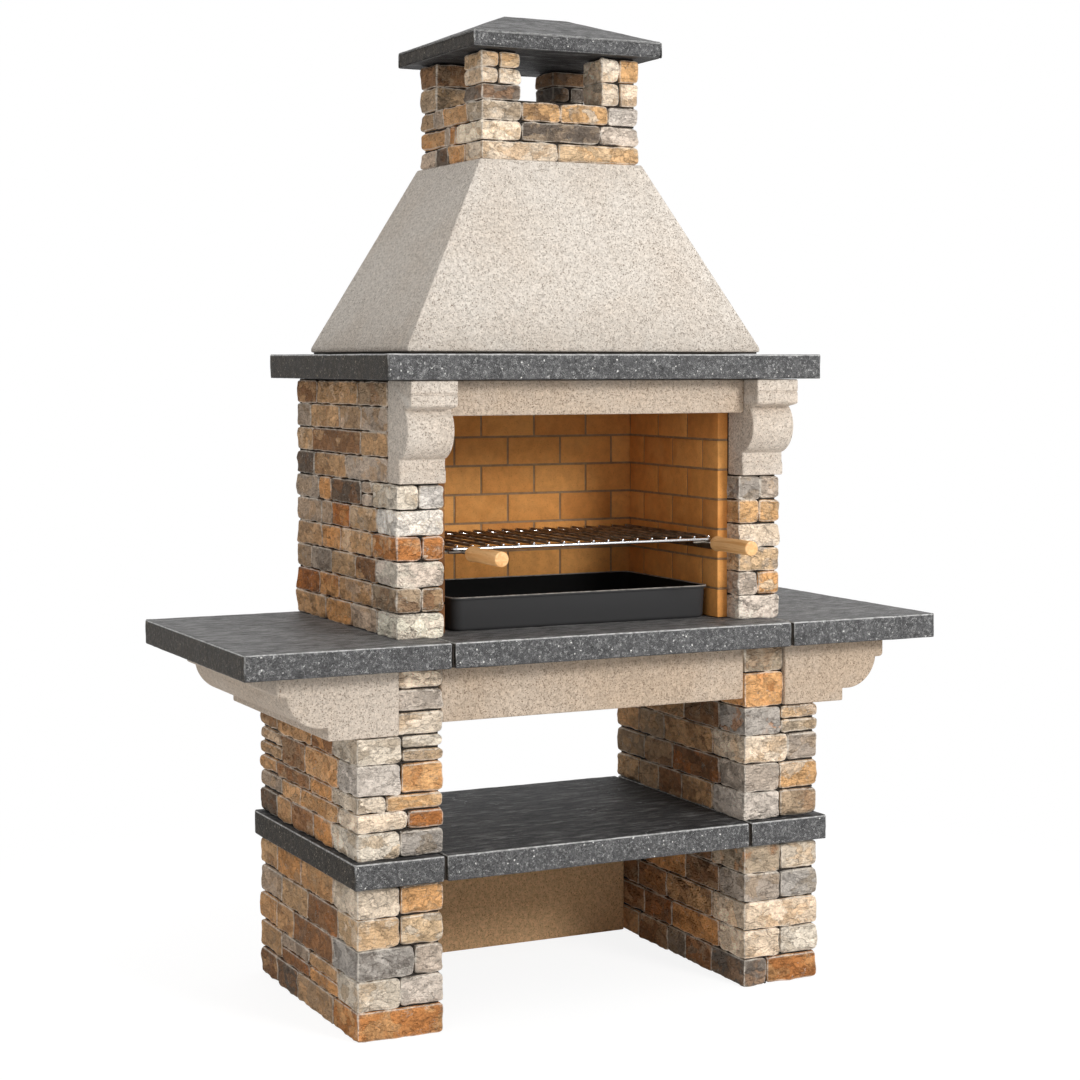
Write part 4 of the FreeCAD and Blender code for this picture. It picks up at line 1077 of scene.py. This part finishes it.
def plain_slab(node):
    """A slab with bevelled arrises that the finish makes pale as wear and painted highlight, rounded outer
    corners and a riven surface.
    """
    piece = begin_piece(node.replace("_slab", "_stone"))
    low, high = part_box(node)
    box_at(low, high)
    take_off_arrises(SLAB_ARRIS)
    cut_to_cells(piece, SLAB_CELL)
    ends = {"left": [(low.x, 1)], "right": [(high.x, -1)]}
    rive(piece, node, low, high, ends.get(node.split("_")[-1], ()))


def mantel():
    """The slab over the firebox, with the opening into the hood."""
    piece = begin_piece("mantel_stone")
    low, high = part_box("mantel_slab")
    box_at(low, high)
    cut_across(0, OPENING_X)
    cut_across(1, OPENING_Y)

    def over_opening(face):
        middle = face.calc_center_median()
        return (abs(face.normal.z) > 0.9 and OPENING_X[0] < middle.x < OPENING_X[1]
                and OPENING_Y[0] < middle.y < OPENING_Y[1])

    pick(piece, "faces", over_opening)
    bpy.ops.mesh.delete(type="FACE")
    pick(piece, "edges", lambda edge: edge.is_boundary)
    bpy.ops.mesh.bridge_edge_loops()
    take_off_arrises(SLAB_ARRIS)
    cut_to_cells(piece, SLAB_CELL)
    rive(piece, "mantel_slab", low, high, ((low.x, 1), (high.x, -1)))


def chimney_cap():
    """A low pyramid with a flat top over an upright fascia."""
    piece = begin_piece("chimney_cap_stone")
    low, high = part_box("chimney_cap")
    eaves = Vector((high.x, high.y, low.z + CAP_FASCIA))
    size = high - low
    box_at(low, eaves)
    pick(piece, "faces", lambda face: face.normal.z > 0.9)
    bpy.ops.mesh.extrude_region_move(TRANSFORM_OT_translate={"value": (0, 0, high.z - eaves.z)})
    bpy.ops.transform.resize(value=(CAP_TOP[0] / size.x, CAP_TOP[1] / size.y, 1))
    take_off_arrises(SLAB_ARRIS)
    take_all()
    bpy.ops.mesh.subdivide(number_cuts=CAP_CUTS)
    rive(piece, "chimney_cap", low, eaves)


# Cast pieces and lining

def cast_piece(node, slot, tone):
    """A cast piece with its arrises bevelled round and its own tone, which is partly painted shade."""
    piece = copy_of(node, node + "_cast")
    open_mesh()
    take_all()
    bpy.ops.mesh.dissolve_limited(angle_limit=math.radians(0.5))
    close_mesh()
    modifier = piece.modifiers.new("arrises", "BEVEL")
    modifier.width = CAST_ARRIS
    modifier.segments = 4
    modifier.angle_limit = math.radians(28)
    modifier.use_clamp_overlap = False
    apply_modifiers(piece)
    store(piece, "tone", [tone] * len(piece.data.vertices))
    soften(piece, 30)
    hand_over(piece, slot, [node])


def lining(node):
    """Firebricks laid close, each with its own tint, and darker at the front of the left side as painted
    shade.
    """
    spare = Vector((BRICK_LET_OUT,) * 3)
    low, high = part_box(node)
    boxes = []
    for start, end in solid_boxes(node):
        start = Vector(max(a, b) for a, b in zip(start - spare, low))
        end = Vector(min(a, b) for a, b in zip(end + spare, high))
        boxes.append((start, end))
    piece = laid_blocks(node.replace("firebricks", "lining"), boxes, BRICK_CELL, BRICK_ARRIS)
    # The front bricks of the left side take the dark tint as painted shade
    darkened = [node == "left_firebricks" and start.y < low.y + SAME_LEVEL for start, end in boxes]
    paint(piece, "brick_tint", [SHADED_BRICK if dark else chance.choice(BRICK_TINTS) for dark in darkened])
    give_own_places(piece, len(boxes))
    piece.data.attributes.remove(piece.data.attributes["block"])
    soften(piece, 35)
    hand_over(piece, "firebrick", [node])


# Grill and tray

def round_steel(node, slot):
    """Bent and turned steel with smooth sides."""
    piece = copy_of(node, node + "_steel")
    soften(piece, 35)
    hand_over(piece, slot, [node], "grill")


def grill_bars():
    """Round bars over two cross rods, rounded at their ends and browned between them."""
    low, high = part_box("grill_bars")
    middle = (low + high) / 2
    size = high - low
    piece = begin_piece("grill_bar_steel")
    pitch = (size.x - 2 * BAR_RADIUS) / (BAR_COUNT - 1)
    for number in range(BAR_COUNT):
        place = (low.x + BAR_RADIUS + pitch * number, middle.y, high.z - BAR_RADIUS)
        bpy.ops.mesh.primitive_cylinder_add(vertices=BAR_SIDES, radius=BAR_RADIUS, depth=size.y,
                                            location=place, rotation=(math.pi / 2, 0, 0))
    for share in (1 / 3, 2 / 3):
        place = (middle.x, low.y + FRAME_RADIUS + (size.y - 2 * FRAME_RADIUS) * share, low.z + BAR_RADIUS)
        bpy.ops.mesh.primitive_cylinder_add(vertices=BAR_SIDES, radius=BAR_RADIUS, depth=size.x,
                                            location=place, rotation=(0, math.pi / 2, 0))
    take_off_arrises(BAR_RADIUS * 0.7, 3)
    cut_across(1, [low.y + cut for cut in BAR_SMOKE_EDGE] + [high.y - cut for cut in BAR_SMOKE_EDGE])
    close_mesh()
    store(piece, "smoke", [float(low.y + BAR_SMOKE < point.co.y < high.y - BAR_SMOKE)
                           for point in piece.data.vertices])
    soften(piece, 50)
    hand_over(piece, "grill_chrome", ["grill_bars"], "grill")


def turned_handle(node):
    """A wooden handle, turned ring by ring from its rear end."""
    low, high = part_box(node)
    piece = begin_piece(node + "_turned")
    middle = (low + high) / 2
    start, radius = HANDLE_TURNING[0]
    bpy.ops.mesh.primitive_circle_add(vertices=HANDLE_SIDES, radius=radius / 1000, fill_type="NGON",
                                      location=(middle.x, high.y - start / 1000, middle.z),
                                      rotation=(math.pi / 2, 0, 0))
    for (here, narrow), (there, wide) in zip(HANDLE_TURNING, HANDLE_TURNING[1:]):
        bpy.ops.mesh.extrude_region_move(TRANSFORM_OT_translate={"value": (0, (here - there) / 1000, 0)})
        bpy.ops.transform.resize(value=(wide / narrow, 1, wide / narrow))
    take_all()
    bpy.ops.mesh.normals_make_consistent(inside=False)
    close_mesh()
    soften(piece, 40)
    hand_over(piece, "handle_wood", [node], "grill")


def ember_tray():
    """A pressed pan with round corners and a rim turned out and down."""
    low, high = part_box("ember_tray")
    piece = begin_piece("ember_pan")
    rim = Vector((TRAY_RIM, TRAY_RIM, 0))
    box_at(low + rim, high - rim)
    size = high - low - 2 * rim
    pick(piece, "edges", lambda edge: along(edge, 2))
    bpy.ops.mesh.bevel(offset=TRAY_CORNER, segments=8, affect="EDGES")
    pick(piece, "faces", lambda face: face.normal.z > 0.9)
    bpy.ops.mesh.delete(type="ONLY_FACE")
    pick(piece, "faces", lambda face: face.normal.z < -0.9)
    bpy.ops.transform.resize(value=(1 - TRAY_TAPER / size.x, 1 - TRAY_TAPER / size.y, 1))
    bpy.ops.mesh.select_mode(type="EDGE")
    bpy.ops.mesh.region_to_loop()
    bpy.ops.mesh.bevel(offset=TRAY_FOOT, segments=4, affect="EDGES")
    pick(piece, "edges", lambda edge: edge.is_boundary)
    bpy.ops.mesh.extrude_edges_move()
    bpy.ops.transform.resize(value=((high.x - low.x) / size.x, (high.y - low.y) / size.y, 1))
    bpy.ops.mesh.extrude_edges_move(TRANSFORM_OT_translate={"value": (0, 0, -TRAY_RIM_DROP)})
    take_all()
    bpy.ops.mesh.normals_make_consistent(inside=False)
    close_mesh()
    gauge = piece.modifiers.new("gauge", "SOLIDIFY")
    gauge.thickness = TRAY_GAUGE
    gauge.offset = -1
    edges = piece.modifiers.new("edges", "BEVEL")
    edges.width = TRAY_EDGE
    edges.segments = 3
    edges.angle_limit = math.radians(40)
    apply_modifiers(piece)
    open_mesh()
    cut_across(2, [high.z - drop for drop in TRAY_DARK_EDGE])
    close_mesh()
    points = piece.data.vertices
    dark_line = high.z - TRAY_DARK_LINE
    middle = Vector(((low.x + high.x) / 2, (low.y + high.y) / 2, high.z))
    inward = [point.normal.dot(middle - point.co) > 0 for point in points]
    # The rim band, made pale by the finish as wear and painted highlight
    store(piece, "rubbed_and_highlit", [float(point.co.z > dark_line) for point in points])
    # The inside below the rim, which the finish makes darker
    store(piece, "darkened", [float(inside and point.co.z < dark_line) for point, inside in zip(points, inward)])
    soften(piece, 35)
    hand_over(piece, "tray_enamel", ["ember_tray"], "tray")


# Stage

def seen_directly(nodes):
    """1 where the camera, a mirror or glass looks, 0 for light itself."""
    path = nodes.add("LightPath").outputs
    return nodes.math("MAXIMUM", path["Is Camera Ray"],
                      nodes.math("MAXIMUM", path["Is Glossy Ray"], path["Is Transmission Ray"]))


def stage():
    """A pale floor that keeps the object's shadow near it and fades to white further off."""
    bpy.ops.object.select_all(action="DESELECT")
    bpy.ops.mesh.primitive_plane_add(size=FLOOR_SIZE)
    floor = bpy.context.active_object
    floor.name = "floor"
    material, nodes = new_finish("floor")
    away = nodes.add("VectorMath", {0: nodes.place()}, operation="LENGTH").outputs["Value"]
    white = nodes.add("Emission", {"Strength": nodes.ramp(away, *SHADOW_FADE, 1.12, 1)})
    diffuse = nodes.add("BsdfDiffuse", {"Color": (0.88, 0.88, 0.88, 1)})
    share = nodes.times(seen_directly(nodes), nodes.ramp(away, *SHADOW_FADE, 0.78, 1))
    blend = nodes.add("MixShader", {"Fac": share, 1: diffuse.outputs[0], 2: white.outputs[0]})
    nodes.add("OutputMaterial", {"Surface": blend.outputs[0]})
    floor.data.materials.append(material)


def studio():
    """A white room, brighter overhead, with a strong lamp at the front right and a weak one at the left."""
    world = bpy.data.worlds.new("studio")
    bpy.context.scene.world = world
    nodes = bare_nodes(world)
    up = nodes.parts(nodes.add("TexCoord").outputs["Generated"])["Z"]
    light = nodes.ramp(up, 0.0, 0.9, 0.3, 0.85)
    seen = seen_directly(nodes)
    strength = nodes.math("ADD", nodes.times(light, nodes.math("SUBTRACT", 1, seen)), seen)
    sky = nodes.add("Background", {"Color": (1, 1, 1, 1), "Strength": strength})
    nodes.add("OutputWorld", {"Surface": sky.outputs[0]})
    for name, settings in LAMPS.items():
        lamp(name, *settings)


def lamp(name, place, size, power, colour):
    """A round lamp turned to the middle of the object."""
    light = bpy.data.lights.new(name, "AREA")
    light.shape = "DISK"
    light.size = size
    light.energy = power
    light.color = colour
    holder = put_in_scene(name, light)
    holder.location = place
    holder.rotation_euler = (Vector(LAMP_TARGET) - Vector(place)).to_track_quat("-Z", "Y").to_euler()


def camera():
    """The photograph's view."""
    lens = bpy.data.cameras.new("camera")
    lens.lens = CAMERA_LENS
    lens.sensor_width = CAMERA_SENSOR
    lens.shift_y = CAMERA_SHIFT
    holder = put_in_scene("camera", lens)
    holder.location = CAMERA_PLACE
    holder.rotation_euler = (math.radians(90 - CAMERA_PITCH), 0, math.radians(-CAMERA_YAW))
    bpy.context.scene.camera = holder


finish_cad_nodes()
for node in FACINGS:
    facing(node)
for node in PLAIN_SLABS:
    plain_slab(node)
mantel()
chimney_cap()
for slot, tones in CAST_PIECES.items():
    for node, tone in tones.items():
        cast_piece(node, slot, tone)
for node in LININGS:
    lining(node)
for node, slot in ROUND_STEEL.items():
    round_steel(node, slot)
grill_bars()
for node in ("left_handle", "right_handle"):
    turned_handle(node)
ember_tray()
stage()
studio()
camera()
bpy.context.scene.view_settings.view_transform = "Standard"
